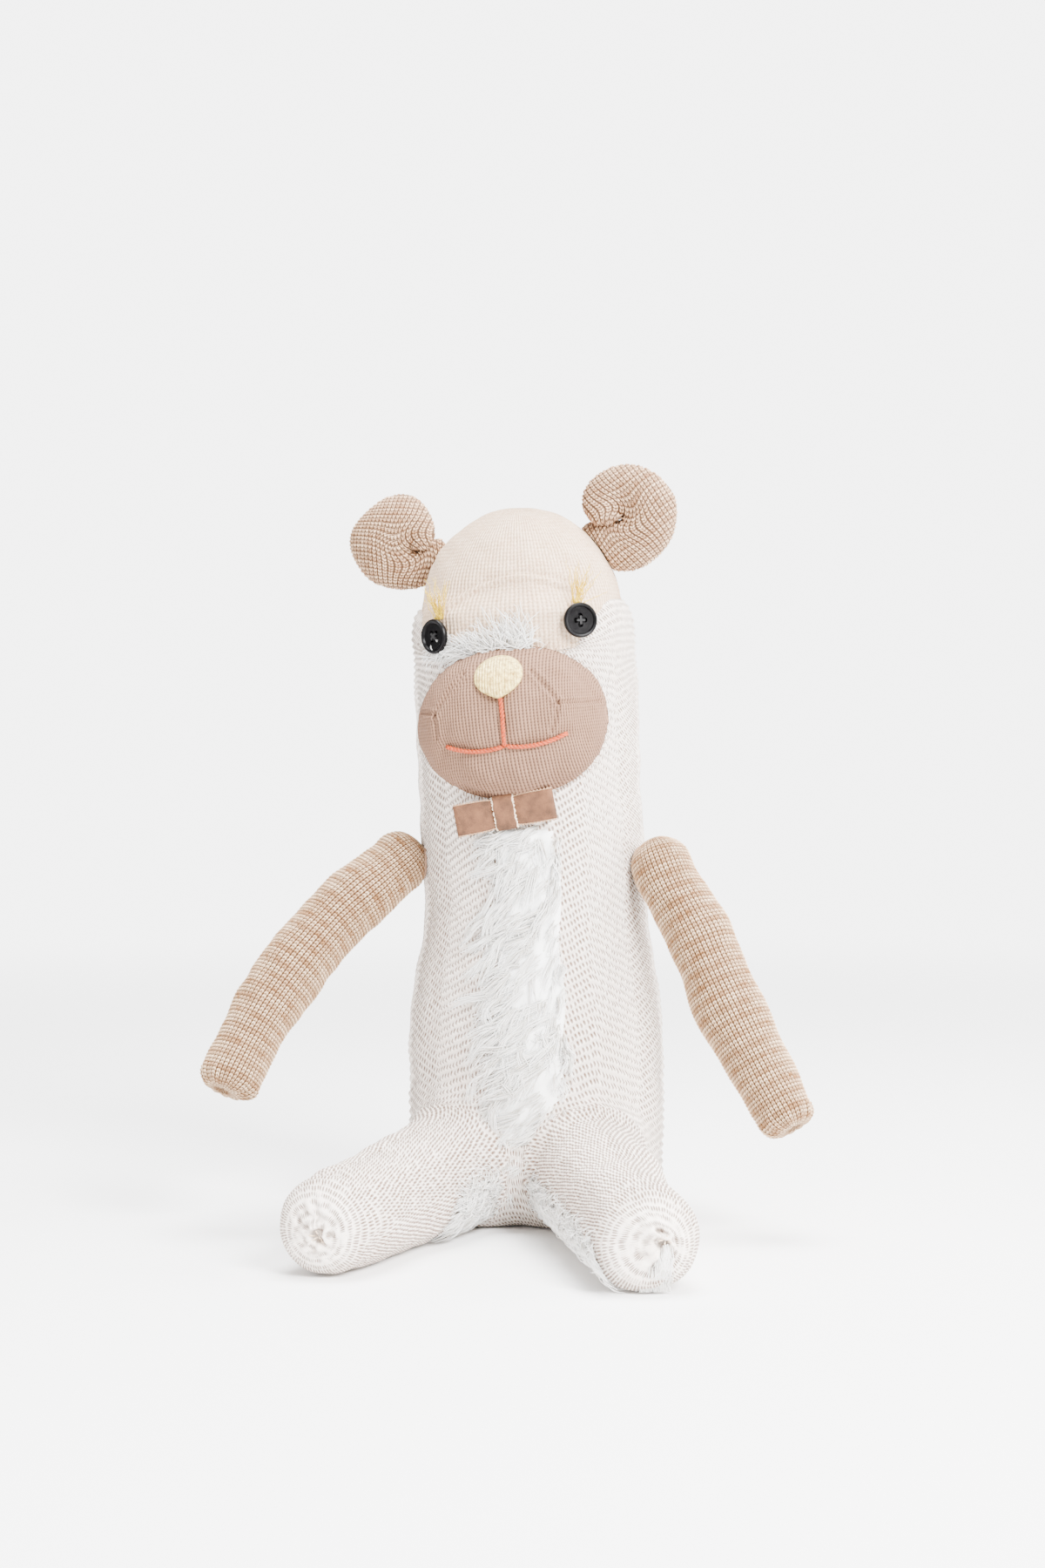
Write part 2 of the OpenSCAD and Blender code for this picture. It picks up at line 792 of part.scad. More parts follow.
torso_skin();
torso_stuffing();
chest_fur();
shoulder_stitches(-1);  // left_shoulder_stitches
shoulder_stitches(1);  // right_shoulder_stitches
head_skin();
head_cap();
cap_seam();
head_stuffing();
muzzle_skin();
muzzle_stuffing();
muzzle_seam_thread();
nose_patch();
philtrum_thread();
smile_thread(-1);  // left_smile_thread
smile_thread(1);  // right_smile_thread
forehead_fur();
lash_tuft(-1);  // left_lash_tuft
lash_tuft(1);  // right_lash_tuft
eye_frame(-1, left_eye_turn) eye_button(left_eye_spin);  // left_eye_button
eye_frame(-1, left_eye_turn) eye_thread(left_eye_spin);  // left_eye_thread
eye_frame(1, right_eye_turn) eye_button(right_eye_spin);  // right_eye_button
eye_frame(1, right_eye_turn) eye_thread(right_eye_spin);  // right_eye_thread
bow_ribbon();
bow_band();
bow_stitch();
ear_frame(-1) ear_skin();  // left_ear_skin
ear_frame(-1) ear_stuffing();  // left_ear_stuffing
ear_frame(-1) ear_thread();  // left_ear_thread
ear_frame(1) ear_skin();  // right_ear_skin
ear_frame(1) ear_stuffing();  // right_ear_stuffing
ear_frame(1) ear_thread();  // right_ear_thread
shoulder_wad(-1);  // left_shoulder_wad
arm_skin(-1);  // left_arm_skin
arm_stuffing(-1);  // left_arm_stuffing
hand_gather(-1);  // left_hand_gather
shoulder_wad(1);  // right_shoulder_wad
arm_skin(1);  // right_arm_skin
arm_stuffing(1);  // right_arm_stuffing
hand_gather(1);  // right_hand_gather
leg_skin(-1);  // left_leg_skin
leg_stuffing(-1);  // left_leg_stuffing
toe_gather(-1);  // left_toe_gather
leg_fur(-1, fur_hip_end, left_leg_l * 0.64);  // left_leg_fur
leg_skin(1);  // right_leg_skin
leg_stuffing(1);  // right_leg_stuffing
toe_gather(1);  // right_toe_gather
leg_fur(1, fur_hip_end, right_leg_l * 0.9);  // right_leg_fur
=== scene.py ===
"""Looks of a seated sock-animal plush toy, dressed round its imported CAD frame.

Every size is in millimetres until a mesh is made. The axes are the frame's: +Z up, -Y the front,
origin in the middle of the seat. A knit surface is a grid whose lines follow its stitches.
"""
from __future__ import annotations

import logging
import math
from dataclasses import dataclass
from enum import Enum

import bpy
import numpy as np
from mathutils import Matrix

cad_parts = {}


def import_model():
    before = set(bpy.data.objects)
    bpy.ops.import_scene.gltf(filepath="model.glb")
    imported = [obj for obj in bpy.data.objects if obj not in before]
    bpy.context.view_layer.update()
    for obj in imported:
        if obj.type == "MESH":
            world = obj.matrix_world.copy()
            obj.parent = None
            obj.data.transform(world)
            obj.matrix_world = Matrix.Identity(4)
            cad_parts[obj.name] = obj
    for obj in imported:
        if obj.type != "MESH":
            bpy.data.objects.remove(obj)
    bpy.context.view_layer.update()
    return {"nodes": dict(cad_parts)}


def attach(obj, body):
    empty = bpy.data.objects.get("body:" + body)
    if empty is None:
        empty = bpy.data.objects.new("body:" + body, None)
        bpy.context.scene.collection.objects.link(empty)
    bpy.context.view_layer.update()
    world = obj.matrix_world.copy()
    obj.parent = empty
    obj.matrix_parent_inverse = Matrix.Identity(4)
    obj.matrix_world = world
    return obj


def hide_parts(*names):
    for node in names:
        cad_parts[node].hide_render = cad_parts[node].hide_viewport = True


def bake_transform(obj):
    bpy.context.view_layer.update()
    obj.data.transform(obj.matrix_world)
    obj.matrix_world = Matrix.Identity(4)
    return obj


Array = np.ndarray
Shader = bpy.types.Material
MM = 0.001
LOG = logging.getLogger("plush")


def side_name(side: int) -> str:
    """Left for -1, right for 1."""
    return "left" if side < 0 else "right"


# ---- numbers on arrays ----

def smooth(t: Array | float) -> Array:
    """Ease from 0 to 1 with level ends: 3 t squared less 2 t cubed.

    Args:
        t: Share of the way, held to 0 .. 1.

    Returns:
        The eased share.
    """
    c = np.clip(t, 0, 1)
    return c * c * (3 - 2 * c)


def unit(v: Array) -> Array:
    """Vectors of length one along the last axis."""
    return v / np.maximum(np.linalg.norm(v, axis=-1, keepdims=True), 1e-9)


def zigzag(x: Array, period: float) -> Array:
    """Triangle wave of x that climbs from 0 to half a period and back with slope one."""
    y = np.mod(x, period)
    return np.minimum(y, period - y)


def ripple(points: Array, wavelength: float, seed: int, waves: int = 9) -> Array:
    """Soft lumps in space: the mean of plane waves in random directions, each a sine.

    Args:
        points: Places in mm, any leading shape.
        wavelength: Distance between lumps, mm.
        seed: Seed of the directions and phases.
        waves: Number of plane waves.

    Returns:
        Lump height about -1 .. 1 at each place.
    """
    rng = np.random.default_rng(seed)
    turn = unit(rng.normal(size=(waves, 3))) * 2 * math.pi / wavelength
    turn *= rng.uniform(0.7, 1.4, (waves, 1))
    phase = rng.uniform(0, 2 * math.pi, waves)
    return np.sin(points @ turn.T + phase).sum(-1) / math.sqrt(waves)


def along(path: Array, count: int) -> Array:
    """Points at even steps along a path, by straight lines between its own points.

    Args:
        path: Corner points, (m, k).
        count: Number of points wanted.

    Returns:
        Array (count, k).
    """
    reach = np.concatenate([[0], np.cumsum(np.linalg.norm(np.diff(path, axis=0), axis=1))])
    at = np.linspace(0, reach[-1], count)
    return np.stack([np.interp(at, reach, path[:, k]) for k in range(path.shape[1])], -1)


def near_path(places: Array, path: Array) -> Array:
    """Distance from flat places to a flat path of straight lines.

    Args:
        places: Places (..., 2) in mm.
        path: Corner points (m, 2).

    Returns:
        Shortest distance for each place.
    """
    a, d = path[:-1], np.diff(path, axis=0)
    gap = places[..., None, :] - a
    t = np.clip((gap * d).sum(-1) / np.maximum((d * d).sum(-1), 1e-9), 0, 1)
    return np.linalg.norm(gap - t[..., None] * d, axis=-1).min(-1)


# ---- meshes ----

class Ends(Enum):
    """How the two ends of a ringed surface are finished."""
    CLOSED = "a point at each end"
    JOINED = "last ring meets the first"


def signed_volume(points: Array, triangles: Array) -> float:
    """Sum of the small tetrahedra under each triangle, positive when the faces look outwards."""
    a, b, c = (points[triangles[:, k]] for k in range(3))
    return float((np.cross(a, b) * c).sum() / 6)


def make_piece(name: str, points: Array, faces: list[Array], shader: Shader,
               corners: Array | None = None, relief: Array | None = None) -> bpy.types.Object:
    """Put arrays into a mesh object at the origin, faces turned outwards.

    Args:
        name: Name of the piece.
        points: Vertices (n, 3) in mm.
        faces: Arrays of vertex numbers, each (count, sides).
        shader: Material of the piece.
        corners: UV of every face corner in order, (corners, 2).
        relief: Height of the yarn at each vertex, 0 in a groove, 1 on its crown and over 1 on the soles,
            where no shade is painted in the eyelets; the material paints shade where it is low. On a strand
            of pile it is the share of painted shade.

    Returns:
        The new object, linked to the scene.
    """
    flat = np.concatenate([f[:, [0, k, k + 1]] for f in faces for k in range(1, f.shape[1] - 1)])
    if signed_volume(points, flat) < 0:
        if corners is not None:
            split = np.split(corners, np.cumsum([f.size for f in faces])[:-1])
            corners = np.concatenate(
                [c.reshape(*f.shape, 2)[:, ::-1].reshape(-1, 2) for c, f in zip(split, faces)])
        faces = [f[:, ::-1] for f in faces]
    mesh = bpy.data.meshes.new(name)
    mesh.from_pydata((points * MM).tolist(), [], [row for f in faces for row in f.tolist()])
    if corners is not None:
        layer = mesh.uv_layers.new(name="stitches")
        layer.data.foreach_set("uv", corners.astype(np.float32).ravel())
    if relief is not None:
        mesh.attributes.new("relief", "FLOAT", "POINT").data.foreach_set(
            "value", relief.astype(np.float32).ravel())
    mesh.polygons.foreach_set("use_smooth", np.ones(len(mesh.polygons), bool))
    mesh.materials.append(shader)
    mesh.update()
    piece = bpy.data.objects.new(name, mesh)
    bpy.context.scene.collection.objects.link(piece)
    return piece


def ringed(name: str, rings: Array, uv: Array, shader: Shader, relief: Array | None = None,
           ends: Ends = Ends.CLOSED) -> bpy.types.Object:
    """Surface through rings of points that close on themselves.

    Args:
        name: Name of the piece.
        rings: Points (m, n, 3) in mm.
        uv: Stitch numbers (m, n + 1, 2); the last column closes the seam.
        shader: Material.
        relief: Yarn height (m, n), or None.
        ends: Whether the ends close to points or the last ring meets the first.

    Returns:
        The new object.
    """
    m, n = rings.shape[:2]
    last = m if ends is Ends.JOINED else m - 1
    j, i = np.meshgrid(np.arange(last), np.arange(n), indexing="ij")
    up, right = (j + 1) % m, (i + 1) % n
    quads = np.stack([j * n + i, j * n + right, up * n + right, up * n + i], -1).reshape(-1, 4)
    up_uv = np.minimum(j + 1, m - 1)
    corners = np.stack([uv[j, i], uv[j, i + 1], uv[up_uv, i + 1], uv[up_uv, i]], 2).reshape(-1, 2)
    points, faces = rings.reshape(-1, 3), [quads]
    if relief is not None:
        relief = relief.reshape(-1)
    if ends is Ends.CLOSED:
        k = np.arange(n)
        k2 = (k + 1) % n
        top = (m - 1) * n
        poles = np.stack([rings[0].mean(0), rings[-1].mean(0)])
        points = np.concatenate([points, poles])
        first = np.stack([np.full(n, m * n), k2, k], -1)
        final = np.stack([top + k, top + k2, np.full(n, m * n + 1)], -1)
        faces += [first, final]
        corners = np.concatenate([
            corners, np.stack([uv[0, k], uv[0, k + 1], uv[0, k]], 1).reshape(-1, 2),
            np.stack([uv[-1, k], uv[-1, k + 1], uv[-1, k]], 1).reshape(-1, 2)])
        if relief is not None:
            relief = np.concatenate([relief, [relief[:n].mean(), relief[-n:].mean()]])
    return make_piece(name, points, faces, shader, corners, relief)


def tube(name: str, path: Array, radius: Array | float, side_hint: Array, shader: Shader,
         sides: int = 10, ends: Ends = Ends.CLOSED) -> bpy.types.Object:
    """Round tube: each point of the path plus radius times a turned pair of cross vectors.

    Args:
        name: Name of the piece.
        path: Centre line (m, 3) in mm.
        radius: Radius in mm, one or (m,).
        side_hint: Vector never in line with the path, (3,) or (m, 3).
        shader: Material.
        sides: Number of sides.
        ends: Whether it closes on itself.

    Returns:
        The new object.
    """
    step = np.gradient(path, axis=0)
    if ends is Ends.JOINED:
        step = np.roll(path, -1, 0) - np.roll(path, 1, 0)
    heading = unit(step)
    across = unit(np.cross(heading, side_hint))
    over = np.cross(across, heading)
    a = np.linspace(0, 2 * math.pi, sides, endpoint=False)[None, :, None]
    r = np.broadcast_to(radius, len(path))[:, None, None]
    rings = path[:, None] + r * (np.cos(a) * across[:, None] + np.sin(a) * over[:, None])
    run = np.concatenate([[0], np.cumsum(np.linalg.norm(np.diff(path, axis=0), axis=1))])
    uv = np.stack(np.meshgrid(np.linspace(0, 1, sides + 1), run), -1)
    return ringed(name, rings, uv, shader, ends=ends)


def joined(pieces: list[bpy.types.Object], name: str) -> bpy.types.Object:
    """Make several pieces one.

    Args:
        pieces: Objects at the origin that share a material.
        name: Name of the result.

    Returns:
        The first object, holding all the meshes.
    """
    with bpy.context.temp_override(active_object=pieces[0], selected_editable_objects=pieces):
        bpy.ops.object.join()
    pieces[0].name = name
    return pieces[0]


def hairs(name: str, paths: Array, radius: float, shader: Shader, outward: Array | None = None,
          hint: Array = np.array([0.2, 1.0, 0.3])) -> bpy.types.Object:
    """Many three-sided strands that thin out to a point, with painted shade at the root and on a random share
    of strands.

    Args:
        name: Name of the piece.
        paths: Centre lines (strands, steps, 3) in mm.
        radius: Radius at the root, mm.
        shader: Material.
        outward: Normal of the cloth under each point of the strands, or None. Strands that share
            it are lit as one soft mass.
        hint: Vector that no strand runs along.

    Returns:
        One object that holds every strand.
    """
    count, steps = paths.shape[:2]
    heading = unit(np.gradient(paths, axis=1))
    across = unit(np.cross(heading, hint))
    over = np.cross(across, heading)
    a = np.arange(3) * 2 * math.pi / 3
    thin = radius * np.sqrt(np.linspace(1, 0.12, steps))[None, :, None, None]
    ring = np.cos(a)[:, None] * across[:, :, None] + np.sin(a)[:, None] * over[:, :, None]
    points = (paths[:, :, None] + thin * ring).reshape(-1, 3)
    k, j, i = np.meshgrid(np.arange(count), np.arange(steps - 1), np.arange(3), indexing="ij")
    base = k * steps * 3
    i2 = (i + 1) % 3
    quads = np.stack([base + j * 3 + i, base + j * 3 + i2, base + j * 3 + 3 + i2,
                      base + j * 3 + 3 + i], -1).reshape(-1, 4)
    root = np.arange(count)[:, None] * steps * 3
    caps = np.concatenate([root + [2, 1, 0], root + (steps - 1) * 3 + [0, 1, 2]])
    # Painted shade: strong on a random share of strands and at every root, carried as the relief attribute
    lot = np.random.default_rng(count).uniform(0, 1, (count, 1, 1)) ** 2
    shade = np.clip(0.75 * lot + 0.55 * np.linspace(1, 0, steps)[None, :, None] ** 1.5, 0, 1)
    shade = np.broadcast_to(shade, (count, steps, 3)).reshape(-1)
    piece = make_piece(name, points, [quads, caps], shader, relief=shade)
    if outward is not None:
        normals = unit(0.62 * outward[:, :, None] + 0.62 * ring).reshape(-1, 3)
        piece.data.normals_split_custom_set_from_vertices(normals)
    return piece


# ---- stitches ----

def herringbone(rows: Array) -> Array:
    """Yarn height of a ribbed row: half plus half the cosine of the row number's turn."""
    return 0.5 + 0.5 * np.cos(2 * math.pi * rows)


def stocking(wales: Array, courses: Array) -> Array:
    """Yarn height of stocking stitch: two legs per wale that lean into a V.

    Across a wale the height dips a little in its middle and falls away to nothing at both edges.
    Along it a cosine bulges once a course, shifted by 0.6 of a course from the middle to the edge.

    Args:
        wales: Wale number of each point.
        courses: Course number of each point.

    Returns:
        Height 0 .. 1.
    """
    m = 2 * np.abs(np.mod(wales, 1) - 0.5)
    leg = 1 - 0.5 * np.exp(-(m / 0.2) ** 2) - smooth((m - 0.5) / 0.45)
    return leg * (0.3 + 0.7 * (0.5 + 0.5 * np.cos(2 * math.pi * (courses - 0.6 * m))))


# ---- finishes ----

def linear(code: str) -> tuple[float, float, float, float]:
    """An sRGB hex colour as linear light.

    Args:
        code: Colour such as "#C2A595".

    Returns:
        Red, green, blue and one for alpha.
    """
    c = np.array([int(code[k:k + 2], 16) / 255 for k in (1, 3, 5)])
    light = np.where(c <= 0.04045, c / 12.92, ((c + 0.055) / 1.055) ** 2.4)
    return (*light.tolist(), 1.0)


def add(tree: bpy.types.NodeTree, kind: str, settings: dict | None = None,
        inputs: dict | None = None) -> bpy.types.Node:
    """Add a node with its settings and its links.

    Args:
        tree: Node tree it goes into.
        kind: Blender's name for the node.
        settings: Properties to set, by name.
        inputs: Socket values or the sockets to link from, by socket name or number.

    Returns:
        The new node.
    """
    node = tree.nodes.new(kind)
    for key, value in (settings or {}).items():
        setattr(node, key, value)
    for key, value in (inputs or {}).items():
        socket = node.inputs[key]
        if isinstance(value, bpy.types.NodeSocket):
            tree.links.new(value, socket)
        else:
            socket.default_value = value
    return node


def blank(name: str) -> tuple[Shader, bpy.types.NodeTree, bpy.types.Node]:
    """An empty material with its surface shader.

    Args:
        name: Name of the finish.

    Returns:
        The material, its node tree and its Principled node.
    """
    shader = bpy.data.materials.new(name)
    shader.use_nodes = True
    tree = shader.node_tree
    return shader, tree, tree.nodes["Principled BSDF"]


@dataclass(frozen=True)
class Knit:
    """Sock knit: spun yarn, so matt and a little fuzzy, with painted shade in the grooves between stitches.

    groove is the colour of that painted shade, gap how dark it gets and edge the yarn height below which it
    is darkest; eyelet, marl, band and rib are strengths of those patterns, and eyelets and ribs get the same
    painted shade; grain is how much the fuzz shows as colour.
    """
    name: str
    light: str
    shade: str
    groove: str
    eyelet: float = 0.0
    marl: float = 0.0
    band: float = 0.0
    rib: float = 0.0
    fuzz_mm: float = 0.45
    band_courses: float = 3.7
    gap: float = 0.95
    edge: float = 0.15
    grain: float = 0.0

    def make(self) -> Shader:
        """Build the material from stitch numbers, yarn height and fine noise, with painted shade where the
        yarn is low.

        Returns:
            The material.
        """
        shader, tree, surface = blank(self.name)
        stitches = add(tree, "ShaderNodeUVMap", {"uv_map": "stitches"}).outputs[0]
        place = add(tree, "ShaderNodeTexCoord").outputs["Object"]
        relief = add(tree, "ShaderNodeAttribute", {"attribute_name": "relief"}).outputs["Fac"]
        mottle = add(tree, "ShaderNodeTexNoise", None,
                     {"Vector": place, "Scale": 1000 / 9, "Detail": 3.0, "Roughness": 0.6}).outputs[0]
        fuzz = add(tree, "ShaderNodeTexNoise", None,
                   {"Vector": place, "Scale": 1000 / self.fuzz_mm, "Detail": 4.0,
                    "Roughness": 0.7}).outputs[0]
        share = add(tree, "ShaderNodeMapRange", None,
                    {0: mottle, 1: 0.35, 2: 0.7, 3: 0.0, 4: 0.3}).outputs[0]
        if self.grain:
            spun = add(tree, "ShaderNodeMapRange", None, {0: fuzz, 1: 0.4, 2: 0.62}).outputs[0]
            share = add(tree, "ShaderNodeMath", {"operation": "MULTIPLY_ADD", "use_clamp": True},
                        {0: spun, 1: self.grain, 2: share}).outputs[0]
        if self.marl:
            cell = add(tree, "ShaderNodeVectorMath", {"operation": "FLOOR"}, {0: stitches}).outputs[0]
            chance = add(tree, "ShaderNodeTexWhiteNoise", {"noise_dimensions": "2D"},
                         {"Vector": cell}).outputs[0]
            wave = add(tree, "ShaderNodeTexWave",
                       {"wave_type": "BANDS", "bands_direction": "Y", "wave_profile": "SIN"},
                       {"Vector": stitches, "Scale": 2 * math.pi / 20 / self.band_courses,
                        "Distortion": 0.7, "Detail": 1.0, "Detail Scale": 0.4}).outputs[1]
            wave = add(tree, "ShaderNodeMapRange", {"interpolation_type": "SMOOTHSTEP"},
                       {0: wave, 1: 0.35, 2: 0.85}).outputs[0]
            banded = add(tree, "ShaderNodeMath", {"operation": "MULTIPLY_ADD"},
                         {0: wave, 1: self.band, 2: share}).outputs[0]
            share = add(tree, "ShaderNodeMath", {"operation": "MULTIPLY_ADD", "use_clamp": True},
                        {0: chance, 1: self.marl, 2: banded}).outputs[0]
        yarn = add(tree, "ShaderNodeMix", {"data_type": "RGBA"},
                   {0: share, 6: linear(self.light), 7: linear(self.shade)}).outputs[2]
        # Painted shade: the share of groove colour rises as the yarn height falls
        deep = add(tree, "ShaderNodeMapRange", None,
                   {0: relief, 1: 0.75 + self.edge / 3, 2: self.edge, 3: 0.0, 4: self.gap}).outputs[0]
        height = add(tree, "ShaderNodeMath", {"operation": "MULTIPLY_ADD"},
                     {0: relief, 1: 0.6, 2: fuzz}).outputs[0]
        # Eyelet holes get the same painted shade of the groove colour, and a dip in the bump
        if self.eyelet:
            spot = add(tree, "ShaderNodeTexVoronoi",
                       {"voronoi_dimensions": "2D", "feature": "F1"},
                       {"Vector": stitches, "Scale": 1.0, "Randomness": 0.22}).outputs["Distance"]
            hole = add(tree, "ShaderNodeMapRange", {"interpolation_type": "SMOOTHSTEP"},
                       {0: spot, 1: 0.46, 2: 0.16, 3: 0.0, 4: self.eyelet}).outputs[0]
            # Where the height passes one, on the soles, no painted shade is laid in the eyelets
            shown = add(tree, "ShaderNodeMapRange", None,
                        {0: relief, 1: 1.0, 2: 1.3, 3: 1.0, 4: 0.0}).outputs[0]
            hole = add(tree, "ShaderNodeMath", {"operation": "MULTIPLY"}, {0: hole, 1: shown}).outputs[0]
            deep = add(tree, "ShaderNodeMath", {"operation": "MULTIPLY_ADD", "use_clamp": True},
                       {0: deep, 1: 1.0, 2: hole}).outputs[0]
            height = add(tree, "ShaderNodeMath", {"operation": "MULTIPLY_ADD"},
                         {0: hole, 1: -1.4, 2: height}).outputs[0]
        # Ribs and courses paint shade into their low parts instead of the yarn height
        if self.rib:
            rib = add(tree, "ShaderNodeTexWave",
                      {"wave_type": "BANDS", "bands_direction": "X", "wave_profile": "SIN"},
                      {"Vector": stitches, "Scale": 2 * math.pi / 20, "Distortion": 0.35,
                       "Detail": 1.0, "Detail Scale": 2.0}).outputs[1]
            course = add(tree, "ShaderNodeTexWave",
                         {"wave_type": "BANDS", "bands_direction": "Y", "wave_profile": "SIN"},
                         {"Vector": stitches, "Scale": 2 * math.pi / 20, "Distortion": 0.5,
                          "Detail": 1.0, "Detail Scale": 2.0}).outputs[1]
            weave = add(tree, "ShaderNodeMath", {"operation": "MULTIPLY_ADD"},
                        {0: course, 1: 0.35, 2: rib}).outputs[0]
            deep = add(tree, "ShaderNodeMapRange", None,
                       {0: weave, 1: 0.75, 2: 0.1, 3: 0.0, 4: self.rib}).outputs[0]
            height = add(tree, "ShaderNodeMath", {"operation": "MULTIPLY_ADD"},
                         {0: weave, 1: 1.6, 2: height}).outputs[0]
        # Yarn colour darkened towards the groove colour by the painted shade
        colour = add(tree, "ShaderNodeMix", {"data_type": "RGBA"},
                     {0: deep, 6: yarn, 7: linear(self.groove)}).outputs[2]
        bump = add(tree, "ShaderNodeBump", None,
                   {"Strength": 0.55, "Distance": 0.0005, "Height": height}).outputs[0]
        tree.links.new(colour, surface.inputs["Base Color"])
        tree.links.new(bump, surface.inputs["Normal"])
        surface.inputs["Roughness"].default_value = 0.92
        surface.inputs["Specular IOR Level"].default_value = 0.25
        surface.inputs["Sheen Weight"].default_value = 0.25
        surface.inputs["Sheen Roughness"].default_value = 0.6
        surface.inputs["Sheen Tint"].default_value = linear(self.light)
        return shader


@dataclass(frozen=True)
class Fibre:
    """Loose or spun fibre of one colour: pile, embroidery thread, sewing thread."""
    name: str
    light: str
    shade: str
    rough: float = 0.7
    metal: float = 0.0
    sheen: float = 0.3
    grain_mm: float = 1.2
    coat: float = 0.0
    strands: bool = False

    def make(self) -> Shader:
        """Build the material: two colours mixed by noise, and a fine bump.

        Returns:
            The material.
        """
        shader, tree, surface = blank(self.name)
        place = add(tree, "ShaderNodeTexCoord").outputs["Object"]
        grain = add(tree, "ShaderNodeTexNoise", None,
                    {"Vector": place, "Scale": 1000 / self.grain_mm, "Detail": 4.0,
                     "Roughness": 0.65}).outputs[0]
        share = add(tree, "ShaderNodeMapRange", None, {0: grain, 1: 0.35, 2: 0.65}).outputs[0]
        # On pile strands the share comes from the relief attribute, which carries painted shade
        if self.strands:
            share = add(tree, "ShaderNodeAttribute", {"attribute_name": "relief"}).outputs["Fac"]
        colour = add(tree, "ShaderNodeMix", {"data_type": "RGBA"},
                     {0: share, 6: linear(self.light), 7: linear(self.shade)}).outputs[2]
        bump = add(tree, "ShaderNodeBump", None,
                   {"Strength": 0.4, "Distance": 0.0002, "Height": grain}).outputs[0]
        tree.links.new(colour, surface.inputs["Base Color"])
        tree.links.new(bump, surface.inputs["Normal"])
        surface.inputs["Roughness"].default_value = self.rough
        surface.inputs["Metallic"].default_value = self.metal
        surface.inputs["Sheen Weight"].default_value = self.sheen
        surface.inputs["Coat Weight"].default_value = self.coat
        return shader


@dataclass(frozen=True)
class Velvet:
    """Rayon velvet ribbon: short upright pile, dark face on and pale where it is seen edgeways."""
    name: str = "cut_velvet"
    light: str = "#70472C"
    shade: str = "#452A16"

    def make(self) -> Shader:
        """Build the material: crushed patches, a pile bump and strong sheen.

        Returns:
            The material.
        """
        shader, tree, surface = blank(self.name)
        place = add(tree, "ShaderNodeTexCoord").outputs["Object"]
        crush = add(tree, "ShaderNodeTexNoise", None,
                    {"Vector": place, "Scale": 1000 / 5.0, "Detail": 2.0}).outputs[0]
        pile = add(tree, "ShaderNodeTexNoise", None,
                   {"Vector": place, "Scale": 1000 / 0.35, "Detail": 3.0}).outputs[0]
        both = add(tree, "ShaderNodeMath", {"operation": "MULTIPLY_ADD"},
                   {0: pile, 1: 0.6, 2: crush}).outputs[0]
        share = add(tree, "ShaderNodeMapRange", None, {0: both, 1: 0.6, 2: 1.0}).outputs[0]
        colour = add(tree, "ShaderNodeMix", {"data_type": "RGBA"},
                     {0: share, 6: linear(self.shade), 7: linear(self.light)}).outputs[2]
        bump = add(tree, "ShaderNodeBump", None,
                   {"Strength": 0.5, "Distance": 0.0003, "Height": pile}).outputs[0]
        tree.links.new(colour, surface.inputs["Base Color"])
        tree.links.new(bump, surface.inputs["Normal"])
        surface.inputs["Roughness"].default_value = 0.85
        surface.inputs["Sheen Weight"].default_value = 0.6
        surface.inputs["Sheen Roughness"].default_value = 0.35
        surface.inputs["Sheen Tint"].default_value = linear("#B98A66")
        return shader


@dataclass(frozen=True)
class Plastic:
    """Cast polyester button: hard and glossy, with fine tumbling scratches that spread the gloss."""
    name: str = "cast_button_plastic"
    colour: str = "#020102"

    def make(self) -> Shader:
        """Build the material.

        Returns:
            The material.
        """
        shader, tree, surface = blank(self.name)
        place = add(tree, "ShaderNodeTexCoord").outputs["Object"]
        wear = add(tree, "ShaderNodeTexNoise", None,
                   {"Vector": place, "Scale": 1000 / 2.5, "Detail": 5.0, "Roughness": 0.7}).outputs[0]
        rough = add(tree, "ShaderNodeMapRange", None,
                    {0: wear, 1: 0.3, 2: 0.7, 3: 0.28, 4: 0.46}).outputs[0]
        colour = add(tree, "ShaderNodeMix", {"data_type": "RGBA"},
                     {0: wear, 6: linear(self.colour), 7: linear("#070607")}).outputs[2]
        bump = add(tree, "ShaderNodeBump", None,
                   {"Strength": 0.12, "Distance": 0.0001, "Height": wear}).outputs[0]
        tree.links.new(colour, surface.inputs["Base Color"])
        tree.links.new(rough, surface.inputs["Roughness"])
        tree.links.new(bump, surface.inputs["Normal"])
        surface.inputs["IOR"].default_value = 1.54
        surface.inputs["Specular IOR Level"].default_value = 0.12
        return shader


